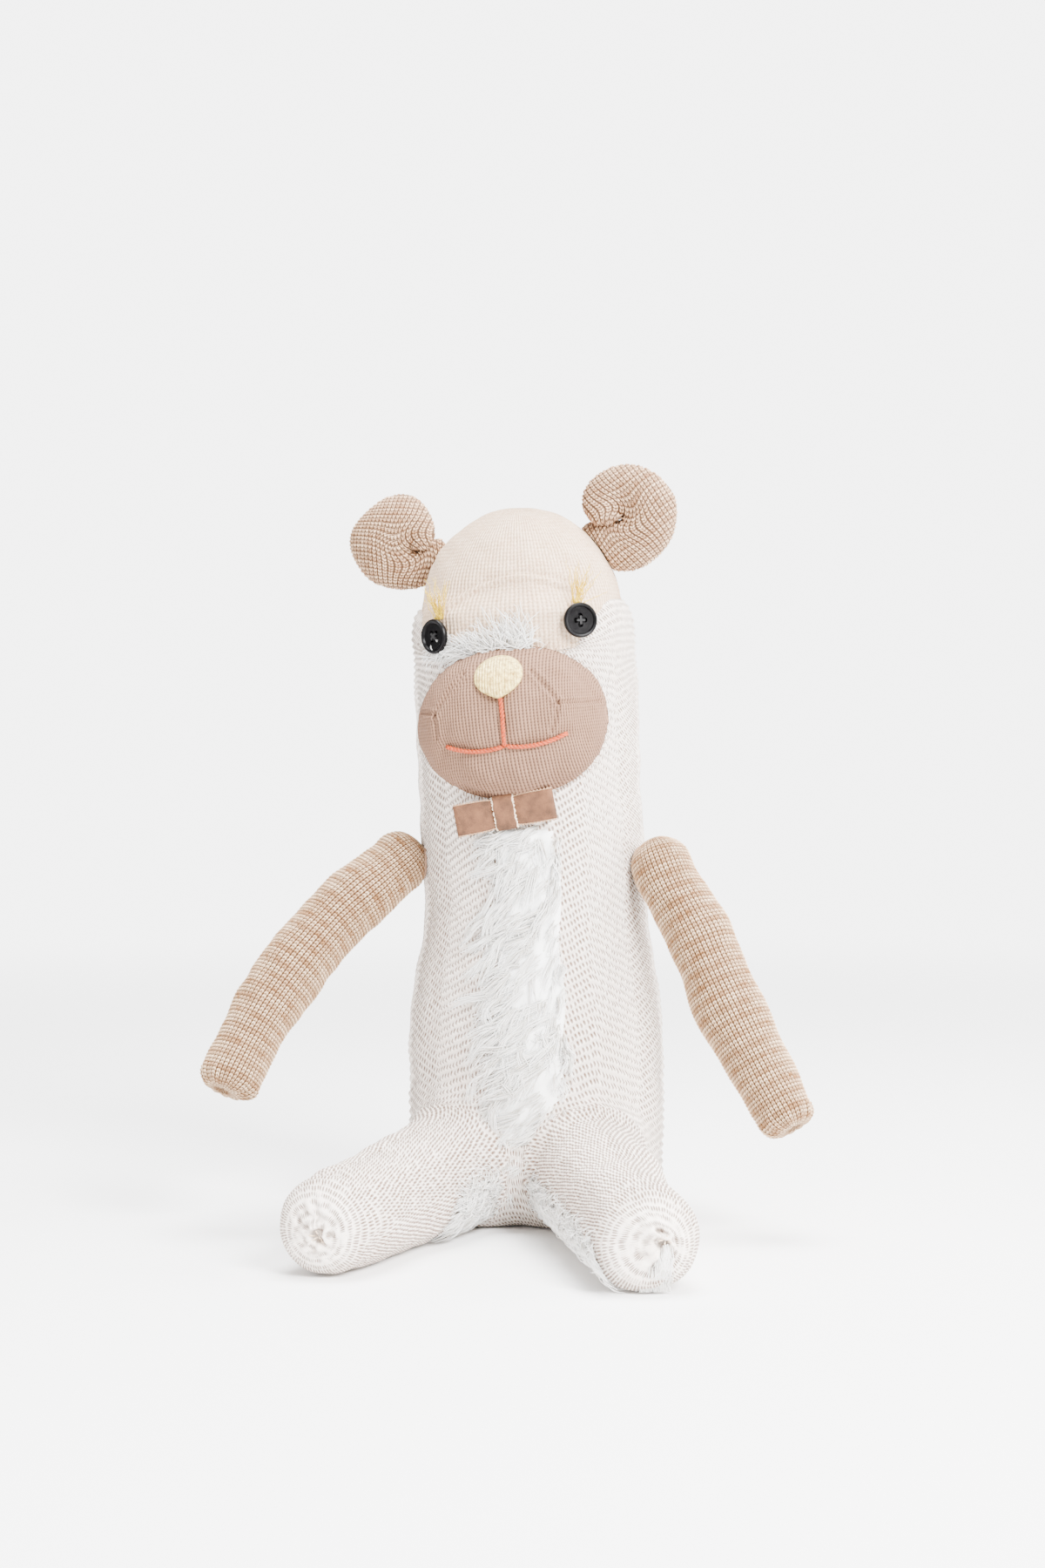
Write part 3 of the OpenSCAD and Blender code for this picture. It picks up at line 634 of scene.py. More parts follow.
class Finishes:
    """Every material of the toy, made once."""

    def __init__(self) -> None:
        """Make the materials from what each real one is."""
        # The third colour of each knit is painted shade for its grooves, eyelets and ribs
        # Cotton sock knit with a relief of slanting rows and small eyelets
        self.cream = Knit("cream_herringbone_knit", "#FFF6ED", "#F6E3D4", "#6A5040", eyelet=0.85, gap=0.27,
                          grain=0.35, fuzz_mm=0.8).make()
        # Thin nylon and cotton stockinette, nearly smooth; its fuzz is drawn at 0.9 mm so that it shows
        self.beige = Knit("beige_stockinette", "#E8CFB6", "#BF9E7F", "#8C6F54", rib=0.6, grain=0.75,
                          fuzz_mm=0.9).make()
        # Two-ply marl yarn, one ply tan and one cream, so each stitch differs from the next
        self.marl = Knit("marl_stockinette", "#FFDDB6", "#9C6A3D", "#432812", marl=0.38, band=0.36,
                         gap=1.0, edge=0.25).make()
        self.ear = Knit("marl_ear_knit", "#FFD8B2", "#A27450", "#3A2313", marl=0.42, band=0.36,
                        gap=0.95, edge=0.26, band_courses=2.0).make()
        # Fine combed cotton of the sock's heel
        self.tan = Knit("tan_fine_knit", "#92705A", "#7D5C48", "#3C2820", rib=0.9, fuzz_mm=0.8,
                        grain=0.5).make()
        # Brushed polyester pile; its second colour is painted shade, at the roots and on a random share of
        # strands
        self.pile = Fibre("white_pile", "#FFFFFD", "#BDB5A9", rough=0.7, sheen=0.4, strands=True).make()
        # Stranded cotton, slightly shiny where the strands lie side by side
        self.coral = Fibre("coral_cotton_thread", "#C24A08", "#8A2C04", rough=0.6, grain_mm=0.9,
                           sheen=0.0).make()
        # Spun polyester sewing threads, matt
        self.black = Fibre("black_sewing_thread", "#0A080A", "#040304", rough=0.8, grain_mm=0.4,
                           sheen=0.0).make()
        self.tacking = Fibre("tan_sewing_thread", "#A98468", "#86654B", rough=0.6, grain_mm=0.4).make()
        self.cream_thread = Fibre("cream_sewing_thread", "#EFD9BF", "#D6BB9B", grain_mm=0.5).make()
        # Woven selvedge of the ribbon, paler than its pile
        self.picot = Fibre("tan_woven_edge", "#C59C78", "#9C7452", grain_mm=0.6).make()
        # Metallised film wound on a core: yellow gold, broken highlights
        self.gold = Fibre("gold_film_thread", "#FFE03A", "#B98F12", rough=0.35, metal=0.3,
                          sheen=0.0, grain_mm=0.6).make()
        self.nose = Fibre("gold_satin_stitch", "#F3DD8C", "#A07F3E", rough=0.42, metal=0.1,
                          grain_mm=1.5, coat=0.1, sheen=0.0).make()
        self.filling = Fibre("polyester_filling", "#FBFBF9", "#EFEFEC").make()
        self.velvet = Velvet().make()
        self.plastic = Plastic().make()


# ---- the body ----

@dataclass(frozen=True)
class BodyForm:
    """The stuffed tube that torso and head share, and the ways from it into the toy's frame."""
    belly_r: float = 56.0
    chest_r: float = 49.0
    belly_z: float = 75.0
    chest_z: float = 140.0
    crown_z: float = 311.0
    cap_seam_z: float = 266.0
    cap_r: float = 44.5
    head_lean: float = 2.8
    lean_z: float = 140.0
    face_roll: float = 3.7
    muzzle_z: float = 217.0
    hip_x: float = 28.5
    hip_y: float = 44.0
    hip_r: float = 25.0
    foot_r: float = 19.5
    leg_spreads: tuple[float, float] = (13.5, 17.0)
    leg_lengths: tuple[float, float] = (122.0, 138.0)
    corner_r: float = 19.0

    def radius(self, z: Array) -> Array:
        """Tube radius at height z: belly radius eased to chest radius."""
        ease = smooth((z - self.belly_z) / (self.chest_z - self.belly_z))
        return self.belly_r + (self.chest_r - self.belly_r) * ease

    def lean(self, points: Array, full: bool = False) -> Array:
        """Turn points about the line y = 0, z = lean_z by the head's lean.

        Args:
            points: Places (..., 3).
            full: True for pieces of the head; otherwise the turn eases in between 115 and 165 mm.

        Returns:
            The leaning points.
        """
        share = 1.0 if full else smooth((points[..., 2] - 115) / 50)
        a = -math.radians(self.head_lean) * share
        x, z = points[..., 0], points[..., 2] - self.lean_z
        return np.stack([x * np.cos(a) + z * np.sin(a), points[..., 1],
                         z * np.cos(a) - x * np.sin(a) + self.lean_z], -1)

    def place(self, turn: Array, z: Array, off: Array | float) -> Array:
        """Point on the tube at an angle from the front, a height, and a distance off its surface.

        Args:
            turn: Angle from the front towards +X, radians.
            z: Height, mm.
            off: Distance off the surface, mm.

        Returns:
            Points with the lean applied.
        """
        r = self.radius(z) + off
        return self.lean(np.stack([r * np.sin(turn), -r * np.cos(turn), z + 0 * r], -1))

    def face(self, right: Array, up: Array) -> tuple[Array, Array]:
        """Face place, right and up from the muzzle's middle, rolled into head X and Z.

        Args:
            right: Distance to the right along the rolled face, mm.
            up: Distance up along the rolled face, mm.

        Returns:
            X and Z in the upright head, mm.
        """
        a = math.radians(self.face_roll)
        return right * math.cos(a) - up * math.sin(a), self.muzzle_z + right * math.sin(a) + up * math.cos(a)

    def leg_axis(self, side: int) -> tuple[Array, Array, float]:
        """Hip point, direction and length of a leg.

        Args:
            side: -1 left, 1 right.

        Returns:
            Start point, unit direction, length between the two ball centres.
        """
        length = self.leg_lengths[0 if side < 0 else 1]
        drop = math.asin((self.hip_r - self.foot_r) / length)
        a = math.radians(self.leg_spreads[0 if side < 0 else 1])
        heading = np.array([side * math.cos(drop) * math.sin(a), -math.cos(drop) * math.cos(a),
                            -math.sin(drop)])
        return np.array([side * self.hip_x, -self.hip_y, self.hip_r]), heading, length

    def torso_gap(self, p: Array) -> Array:
        """Signed distance to the torso: a rounded upright cylinder whose radius changes with height.

        Args:
            p: Points (..., 3), mm.

        Returns:
            Distances in mm, negative inside.
        """
        rho = np.hypot(p[..., 0], p[..., 1])
        side = rho - self.radius(p[..., 2])
        c = self.corner_r
        out, down = side + c, c - p[..., 2]
        corner = np.hypot(np.maximum(out, 0), np.maximum(down, 0)) - c + np.minimum(np.maximum(out, down), 0)
        return np.where(p[..., 2] < c, corner, side)

    def leg_gap(self, p: Array, side: int) -> Array:
        """Signed distance to a leg: distance to its axis less a radius that tapers along it.

        Args:
            p: Points (..., 3), mm.
            side: -1 for the left leg, 1 for the right.

        Returns:
            Distances in mm, negative inside.
        """
        start, heading, length = self.leg_axis(side)
        t = np.clip((p - start) @ heading / length, 0, 1)
        r = self.hip_r + (self.foot_r - self.hip_r) * t
        return np.linalg.norm(p - start - t[..., None] * heading * length, axis=-1) - r

    def soft_union(self, p: Array, width: float = 16.0) -> Array:
        """Distance to torso and legs run together: the least, less a quarter of the squared overlap.

        Args:
            p: Points (..., 3), mm.
            width: Difference of two distances below which they run together, mm.

        Returns:
            Distances in mm, negative inside.
        """
        d = self.torso_gap(p)
        for side in (-1, 1):
            e = self.leg_gap(p, side)
            h = np.maximum(width - np.abs(d - e), 0) / width
            d = np.minimum(d, e) - h * h * width / 4
        return d

    def settle(self, p: Array, own: Array, other: Array, reach: float = 16.0) -> Array:
        """Move knit near a hip onto the run-together surface, and tuck it in past the join.

        The move is against the distance, along its slope, four times over. Where the other piece is
        nearer, the knit is then drawn in by a share of how much nearer that is.

        Args:
            p: Points (..., 3).
            own: Signed distance to the piece's own solid, before the move.
            other: Signed distance to the nearest other solid.
            reach: Distance from the other solid within which points move.

        Returns:
            Moved points.
        """
        flat = p.reshape(-1, 3).copy()
        near = (other.ravel() < reach) & (own.ravel() > -3)
        q = flat[near]
        for _ in range(4):
            d = self.soft_union(q)
            slope = np.stack([self.soft_union(q + step) - d for step in np.eye(3) * 0.2], -1) / 0.2
            slope /= np.maximum((slope * slope).sum(-1, keepdims=True), 0.3)
            q = q - np.clip(d, -3, 3)[:, None] * slope
        past = own.ravel()[near] - other.ravel()[near]
        tuck = np.clip(0.3 * (past + 0.6), 0, 4)
        q = q - unit(slope) * tuck[:, None]
        flat[near] = q
        return flat.reshape(p.shape)


@dataclass
class Body:
    """Torso and head in one tube of herringbone knit, with the cap that closes it."""
    form: BodyForm
    finishes: Finishes
    row_mm: float = 3.4
    stitch_mm: float = 1.6
    columns: int = 300
    slant: float = 0.5

    def row_offset(self, turn: Array) -> Array:
        """Height by which a row is shifted at an angle from the front: a mirrored zigzag.

        Seven chevrons go round the tube; one valley stands 10 degrees right of the front.

        Args:
            turn: Angle from the front, radians.

        Returns:
            Shift in mm.
        """
        return np.radians(zigzag(np.degrees(turn) - 10.3, 360 / 7)) * 52 * self.slant

    def knit(self) -> bpy.types.Object:
        """Build the tube, its rows, lumps, hip fillets and the lip that closes on the cap.

        The profile is the seat, a rounded corner, the side and the lip, sampled by its own length.
        Point (row, column) lies on it at row number times a quarter row, shifted by the zigzag.

        Returns:
            The knit of torso and head.
        """
        f = self.form
        a = np.linspace(0, math.pi / 2, 12)
        seat_r = f.belly_r - f.corner_r
        side_z = np.linspace(f.corner_r, f.cap_seam_z - 11, 90)[1:]
        lip = np.array([[f.chest_r - 0.5, f.cap_seam_z - 6], [f.chest_r - 1.4, f.cap_seam_z - 2.5],
                        [f.chest_r - 2.8, f.cap_seam_z + 0.5], [f.cap_r - 0.6, f.cap_seam_z + 2.6],
                        [f.cap_r - 4, f.cap_seam_z - 1], [8.0, f.cap_seam_z - 4]])
        outline = np.concatenate([
            [[1.0, 0.4], [seat_r, 0.0]],
            np.stack([seat_r + f.corner_r * np.sin(a), f.corner_r * (1 - np.cos(a))], -1)[1:],
            np.stack([f.radius(side_z), side_z], -1), lip])
        reach = np.concatenate([[0], np.cumsum(np.linalg.norm(np.diff(outline, axis=0), axis=1))])
        quarter = self.row_mm / 4
        rings = int(reach[-1] / quarter)
        rows = np.arange(rings)[:, None] / 4
        turn = np.linspace(-math.pi, math.pi, self.columns, endpoint=False)[None]
        level = rows * self.row_mm
        ease = smooth((level - 50) / 85) * (1 - smooth((level - (reach[-1] - 110)) / 60))
        s = np.clip(level + self.row_offset(turn) * ease, 0, reach[-1])
        r, z = np.interp(s, reach, outline[:, 0]), np.interp(s, reach, outline[:, 1])
        base = np.stack([r * np.sin(turn), -r * np.cos(turn), z], -1)
        legs = np.minimum(f.leg_gap(base, -1), f.leg_gap(base, 1))
        base = f.settle(base, f.torso_gap(base), legs)
        out = unit(np.stack([np.sin(turn) + 0 * z, -np.cos(turn) + 0 * z, 0 * z], -1))
        relief = np.broadcast_to(herringbone(rows), z.shape).copy()
        flatness = smooth(z / 14)
        lumps = 0.6 * ripple(base, 62, 3) + 0.3 * ripple(base, 21, 4)
        crease = self.creases(base)
        height = (relief - 0.6) * (0.25 + 0.75 * flatness) + (lumps - crease) * flatness
        base = base + out * height[..., None]
        base[..., 2] = np.maximum(base[..., 2], 0.1)
        front = 1 - smooth((np.abs(turn + 0.09) - math.radians(26)) / math.radians(52))
        base[..., 2] -= 13 * front * smooth((z - f.cap_seam_z + 22) / 18)
        points = f.lean(base)
        u = np.linspace(-1, 1, self.columns + 1) * round(math.pi * 52 / self.stitch_mm)
        v = np.broadcast_to(rows, (rings, self.columns + 1))
        uv = np.stack([u[None] + 0.5 * v, v], -1)
        piece = ringed("body_knit", points, uv, self.finishes.cream, relief)
        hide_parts("torso_skin", "torso_stuffing", "head_skin", "head_stuffing")
        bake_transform(piece)
        return piece

    def creases(self, p: Array) -> Array:
        """Depth of the folds that the hips and the sewn muzzle pull into the knit.

        Each fold is a bell of 3 mm half width across a line that fades along its length.

        Args:
            p: Points on the tube.

        Returns:
            Depth in mm.
        """
        turn = np.degrees(np.arctan2(p[..., 0], -p[..., 1]))
        z = p[..., 2]
        depth = np.zeros(z.shape)
        for angle, height, slope, length, deep in (
                (-58, 44, 0.5, 24, 1.1), (62, 47, -0.5, 22, 1.0), (-72, 58, 0.35, 26, 0.7),
                (80, 62, -0.3, 24, 0.6), (-26, 60, -0.2, 16, 0.6), (150, 60, 0.2, 34, 0.5),
                (-140, 80, -0.25, 34, 0.5), (-50, 188, 0.25, 18, 0.6), (48, 186, -0.2, 18, 0.6)):
            run = (turn - angle) * 0.9
            across = z - height - slope * run
            depth += deep * np.exp(-(across / 3.2) ** 2 - (run / length) ** 2)
        return depth

    def cap(self) -> bpy.types.Object:
        """Build the stockinette cap: a dome whose front hangs down between the eyes.

        Radius over height is an ellipse; within 50 degrees of the front it runs out over the tube and
        down to the muzzle. The sewn toe seam is a ridge with small stitches across the forehead.

        Returns:
            The cap.
        """
        f = self.form
        mid = f.cap_seam_z - 4
        tall = f.crown_z - mid
        rings, columns = 130, 260
        turn = np.linspace(-math.pi, math.pi, columns, endpoint=False)[None]
        front = 1 - smooth((np.abs(turn + 0.09) - math.radians(26)) / math.radians(48))
        foot = mid + 1 - front * 19 - 2.5 * (1 - front)
        share = np.linspace(0, 1, rings)[:, None]
        arc = np.sin(share * math.pi / 2)
        z = foot + (f.crown_z - 0.02 - foot) * arc
        dome = f.cap_r * np.sqrt(np.clip(1 - ((z - mid) / tall) ** 2, 0, 1))
        over = f.chest_r + 0.75
        blend_in = smooth((f.cap_seam_z + 9 - z) / 13)
        r = np.where(z < mid, f.cap_r, dome)
        r = r + front * blend_in * (over - r)
        points = np.stack([r * np.sin(turn), -r * np.cos(turn), z + 0 * r], -1)
        x = r * np.sin(turn)
        line = f.cap_seam_z + 12.5 - ((x - 3) / 24) ** 2 * 6.5 + 0.05 * x
        reach = smooth((44 - np.abs(np.degrees(turn) + 4)) / 6)
        from_seam = z - line
        stitch = 0.75 + 0.25 * np.cos(2 * math.pi * x / 2.6)
        ridge = (0.95 * np.exp(-(from_seam / 0.85) ** 2) * stitch
                 - 0.6 * np.exp(-((np.abs(from_seam) - 2.0) / 1.0) ** 2)) * reach
        pull = 0.3 * np.cos(turn * 30) * np.exp(-((z - foot) / 4) ** 2) * front
        lumps = 0.5 * ripple(points, 30, 8) + 0.2 * ripple(points, 9, 9)
        out = unit(np.stack([np.sin(turn) + 0 * r, -np.cos(turn) + 0 * r, (z - mid) / 40 * (z > mid)], -1))
        points = points + out * (ridge + pull + lumps)[..., None]
        u = np.linspace(-1, 1, columns + 1) * 76
        v = np.concatenate([z / 1.6, (z / 1.6)[:, :1]], 1)
        uv = np.stack([np.broadcast_to(u, v.shape), v], -1)
        tuck = points[:1] * [0.93, 0.93, 1] + [0, 0, 2.5]
        deep = points[:1] * [0.3, 0.3, 1] + [0, 0, 8]
        points = np.concatenate([deep, tuck, points])
        uv = np.concatenate([uv[:1], uv[:1], uv])
        # Painted shade beside the seam ridge: the yarn height is lowered there so the material darkens it
        groove = 0.5 * np.exp(-(from_seam / 1.8) ** 2) * reach * (1 - np.exp(-(from_seam / 0.7) ** 2))
        relief = np.concatenate([np.full((2, columns), 0.7), 0.7 - groove])
        piece = ringed("cap_stockinette", f.lean(points, True), uv, self.finishes.beige, relief)
        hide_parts("head_cap", "cap_seam")
        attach(piece, "head")
        return piece

    def build(self) -> list[bpy.types.Object]:
        """Build the tube and the cap."""
        return [self.knit(), self.cap()]


# ---- legs and arms ----

def limb_frame(heading: Array) -> tuple[Array, Array]:
    """Side and top vectors of a limb, square to its heading, the top as near +Z as it can be."""
    side = unit(np.cross(heading, np.array([0, 0, 1.0])))
    return side, np.cross(side, heading)


@dataclass
class Paired:
    """What legs, arms and ears share: form, finishes, and a side that is -1 left or 1 right."""
    form: BodyForm
    finishes: Finishes
    side: int

    @property
    def name(self) -> str:
        """Left or right."""
        return side_name(self.side)


@dataclass
class Leg(Paired):
    """A leg of the same knit, flat-ended where its toe is gathered on a thread."""
    row_mm: float = 3.4
    stitch_mm: float = 1.6
    columns: int = 108

    def knit(self) -> bpy.types.Object:
        """Build the leg from a profile along its axis: cone, rounded rim, gathered flat end.

        The end's radial pleats are a cosine of the angle that grows towards the middle, where a dimple
        takes the thread. Rows follow the profile's length, so they turn into rings on the sole.

        Returns:
            The leg.
        """
        f = self.form
        start, heading, length = f.leg_axis(self.side)
        foot = f.foot_r + (0.6 if self.side > 0 else -0.3)
        a = np.linspace(0, math.pi / 2, 10)
        round_r, flat_at = 12.5, length + 15.0
        s0 = np.linspace(-14, flat_at - round_r - 0.5, 60)
        cone = f.hip_r + (foot - f.hip_r) * np.clip(s0 / length, -0.2, 1)
        cone = cone + 0.7 * np.exp(-((s0 - length + 12) / 16) ** 2)
        rim = np.stack([flat_at - round_r + round_r * np.sin(a), cone[-1] - round_r * (1 - np.cos(a))], -1)
        flat_r = np.linspace(rim[-1, 1], 0.4, 14)[1:]
        sole = np.stack([flat_at + 0.8 * np.sin(flat_r / rim[-1, 1] * math.pi)
                         - 3.6 * np.exp(-(flat_r / 2.6) ** 2), flat_r], -1)
        outline = np.concatenate([np.stack([s0, cone], -1), rim[1:], sole])
        reach = np.concatenate([[0], np.cumsum(np.linalg.norm(np.diff(outline, axis=0), axis=1))])
        rings = int(reach[-1] / (self.row_mm / 4))
        rows = np.arange(rings)[:, None] / 4
        theta = np.linspace(0, 2 * math.pi, self.columns, endpoint=False)[None]
        level = rows * self.row_mm
        shift = (zigzag(np.degrees(theta), 90) - 22.5) * math.pi / 180 * 22 * 0.7
        ease = smooth((level - 4) / 18) * (1 - smooth((level - reach[-1] + 44) / 24))
        s = np.clip(level + shift * ease, 0, reach[-1])
        down, r = np.interp(s, reach, outline[:, 0]), np.interp(s, reach, outline[:, 1])
        relief = np.broadcast_to(herringbone(rows), r.shape).copy()
        on_sole = smooth((down - flat_at + 5) / 5)
        pleat = np.cos(11 * theta + 1.6 * np.sin(2 * theta) + np.sin(5 * theta)) * np.exp(
            -((r - 4.0) / 3.4) ** 2) * on_sole * (0.6 + 0.4 * np.sin(3 * theta + 1))
        across, top = limb_frame(heading)
        round_out = np.cos(theta)[..., None] * top + np.sin(theta)[..., None] * across
        base = start + down[..., None] * heading + r[..., None] * round_out
        other = f.torso_gap(base)
        base = f.settle(base, f.leg_gap(base, self.side) * (down < length), other)
        lumps = 0.7 * ripple(base, 44, 11 + self.side) + 0.3 * ripple(base, 15, 14 + self.side)
        wrinkle = 0.8 * np.exp(-((down - length + 3 + 2 * np.sin(theta * 2)) / 2.2) ** 2) * (
            0.5 + 0.5 * np.sin(theta * 3 + 1))
        swell = 0.95 * (relief - 0.6) + lumps * (1 - on_sole) - wrinkle * (1 - on_sole)
        base = base + round_out * (swell * (1 - on_sole))[..., None]
        nubs = ripple(base, 5.0, 17 + self.side, 14) * np.exp(-(r / 10.0) ** 2)
        push = 0.25 * (relief - 0.6) + 0.6 * pleat + 0.4 * lumps + 1.7 * nubs
        base = base + heading * (push * on_sole)[..., None]
        # Sole height over one leaves its eyelets without painted shade; it drops in the pleats and between
        # the nubs as painted shade in those folds
        sole_shade_level = 1.02 + 0.22 * ripple(base, 8, 90 + self.side) + np.clip(1.3 * nubs + 0.5 * pleat, -1.0, 0.2)
        relief = relief + smooth((down - flat_at + 9) / 10) * (sole_shade_level - relief)
        drawn = ((1 - np.clip(r / 17, 0, 1)) ** 1.5 * on_sole)[..., None]
        aside, up = (-6.5, 2.0) if self.side > 0 else (-1.0, -2.0)
        base = base + (across * aside + top * up) * drawn
        low = np.minimum(base[..., 2], 1.5)
        base[..., 2] = np.where(base[..., 2] < 1.5, 0.15 + 1.35 * np.exp((low - 1.5) / 1.35), base[..., 2])
        u = np.linspace(0, 1, self.columns + 1) * round(2 * math.pi * 22 / self.stitch_mm)
        v = np.broadcast_to(rows, (rings, self.columns + 1))
        uv = np.stack([u[None] + 0.5 * v, v], -1)
        piece = ringed(f"{self.name}_leg_knit", base, uv, self.finishes.cream, relief)
        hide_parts(f"{self.name}_leg_skin", f"{self.name}_leg_stuffing", f"{self.name}_toe_gather")
        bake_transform(piece)
        return piece

    def toe_threads(self) -> bpy.types.Object:
        """Short gathering stitches laid in a star over the dimple of the sole.

        Returns:
            The threads.
        """
        f = self.form
        start, heading, length = f.leg_axis(self.side)
        across, top = limb_frame(heading)
        centre = (start + heading * (length + 13.2) + across * (-6.5 if self.side > 0 else -1.0)
                  + top * (2.0 if self.side > 0 else -2.0))
        made = []
        for k in range(5):
            a = k * 2 * math.pi / 5 + 0.9 * math.sin(3 * k)
            t = np.linspace(0.4, 1, 7)[:, None]
            out = math.cos(a) * top + math.sin(a) * across
            lift = (2.6 * smooth((t * 6 - 1.2) / 4))
            path = centre + out * (t * (2.6 + 1.2 * math.sin(5 * a))) + heading * lift * 0.9
            made.append(tube("toe_stitch", path, 0.28, heading + 0.01, self.finishes.cream_thread, 6))
        piece = joined(made, f"{self.name}_toe_threads")
        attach(piece, f"{self.name}_leg")
        return piece

    def build(self) -> list[bpy.types.Object]:
        """Build the knit and its gathering stitches."""
        return [self.knit(), self.toe_threads()]


@dataclass
class Arm(Paired):
    """A sleeve of marl stockinette, its wales running from the shoulder to the gathered hand."""
    root_r: float = 13.0
    mid_r: float = 14.5
    hand_r: float = 12.8
    length: float = 120.0
    shoulder_z: float = 155.0
    shoulder_turn: float = 16.0
    turn_gap: float = 0.5
    wales: int = 42
    course_mm: float = 1.7

    def centre(self, t: Array) -> Array:
        """Centre line at share t: a straight line that a parabola 4 t (1 - t) bows out.

        Args:
            t: Share of the arm's length.

        Returns:
            Points (..., 3).
        """
        reach = self.form.chest_r + self.root_r + self.turn_gap
        a = math.radians(self.shoulder_turn)
        root = np.array([self.side * reach * math.cos(a), -reach * math.sin(a), self.shoulder_z])
        to_hand = unit(np.array([-60.0, -58, -87] if self.side < 0 else [54.0, -38, -101]))
        bow = np.array([-5, 0, 4.5] if self.side < 0 else [-1.5, -1.5, -1.0])
        t = np.asarray(t)[..., None]
        inward = np.array([-self.side * 2.2, 0.4, 0]) * (1 - smooth(t * 3))
        return root + to_hand * self.length * t + bow * 4 * t * (1 - t) + inward

    def knit(self) -> bpy.types.Object:
        """Build the sleeve: rings round the centre line, then yarn height from stocking stitch.

        Radius eases from root to middle to hand. Both ends close over a rounded rim, the hand's with
        radial pleats round a dimple and a notch on its lower side.

        Returns:
            The sleeve.
        """
        a = np.linspace(0, math.pi / 2, 12)[1:]
        root_end = np.stack([-self.root_r * 0.92 * np.cos(np.linspace(0.05, math.pi / 2, 12)),
                             self.root_r * np.sin(np.linspace(0.05, math.pi / 2, 12))], -1)
        s_mid = np.linspace(0, self.length, 60)[1:]
        t = s_mid / self.length
        r_mid = np.where(t < 0.5, self.root_r + (self.mid_r - self.root_r) * smooth(2 * t),
                         self.mid_r + (self.hand_r - self.mid_r) * smooth(2 * t - 1))
        round_r = 7.5
        rim = np.stack([self.length + 2 + round_r * np.sin(a), self.hand_r - round_r * (1 - np.cos(a))], -1)
        flat_r = np.linspace(self.hand_r - round_r, 0.3, 8)[1:]
        flat = np.stack([self.length + 2 + round_r - 3.0 * np.exp(-(flat_r / 2.0) ** 2), flat_r], -1)
        outline = np.concatenate([root_end, np.stack([s_mid, r_mid], -1), rim, flat])
        reach = np.concatenate([[0], np.cumsum(np.linalg.norm(np.diff(outline, axis=0), axis=1))])
        courses = int(reach[-1] / self.course_mm)
        s = np.linspace(0, reach[-1], courses * 4 + 1)
        down, r = np.interp(s, reach, outline[:, 0]), np.interp(s, reach, outline[:, 1])
        theta = np.linspace(0, 2 * math.pi, self.wales * 6, endpoint=False)[None]
        run = down / self.length
        held = np.clip(run, 0.0, 1.0)
        spine = self.centre(held)
        heading = unit(self.centre(held + 0.01) - self.centre(held - 0.01))
        spine = spine + heading * (down - held * self.length)[:, None]
        across = unit(np.cross(heading, np.array([0.3 * self.side, 1.0, 0.2])))
        over = np.cross(across, heading)
        u = theta / (2 * math.pi) * self.wales
        v = (np.arange(len(s)) / 4)[:, None]
        relief = stocking(u, v)
        round_out = np.cos(theta)[..., None] * across[:, None] + np.sin(theta)[..., None] * over[:, None]
        rough = spine[:, None] + r[:, None, None] * round_out
        tip = smooth((down - self.length + 1) / 10)[:, None]
        pleat = 0.9 * np.cos(11 * theta + 0.6 * np.sin(2 * theta)) * tip
        low = np.where(round_out[..., 2] < 0, -round_out[..., 2], 0)
        notch = 2.6 * np.exp(-((down[:, None] - self.length + 1) / 2.6) ** 2) * low ** 3
        lumps = 0.7 * ripple(rough, 36, 21 + self.side) + 0.25 * ripple(rough, 12, 24 + self.side)
        swell = (relief - 0.5) * smooth(r[:, None] / 6) + lumps * smooth(r[:, None] / 8) + pleat - notch
        points = spine[:, None] + (np.maximum(r[:, None] + swell, 0.15))[..., None] * round_out
        uv = np.stack(np.broadcast_arrays(np.linspace(0, self.wales, self.wales * 6 + 1)[None], v), -1)
        piece = ringed(f"{self.name}_arm_knit", points, uv, self.finishes.marl, relief)
        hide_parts(f"{self.name}_arm_skin", f"{self.name}_arm_stuffing", f"{self.name}_hand_gather")
        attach(piece, f"{self.name}_arm")
        return piece

    def build(self) -> list[bpy.types.Object]:
        """Build the sleeve."""
        return [self.knit()]


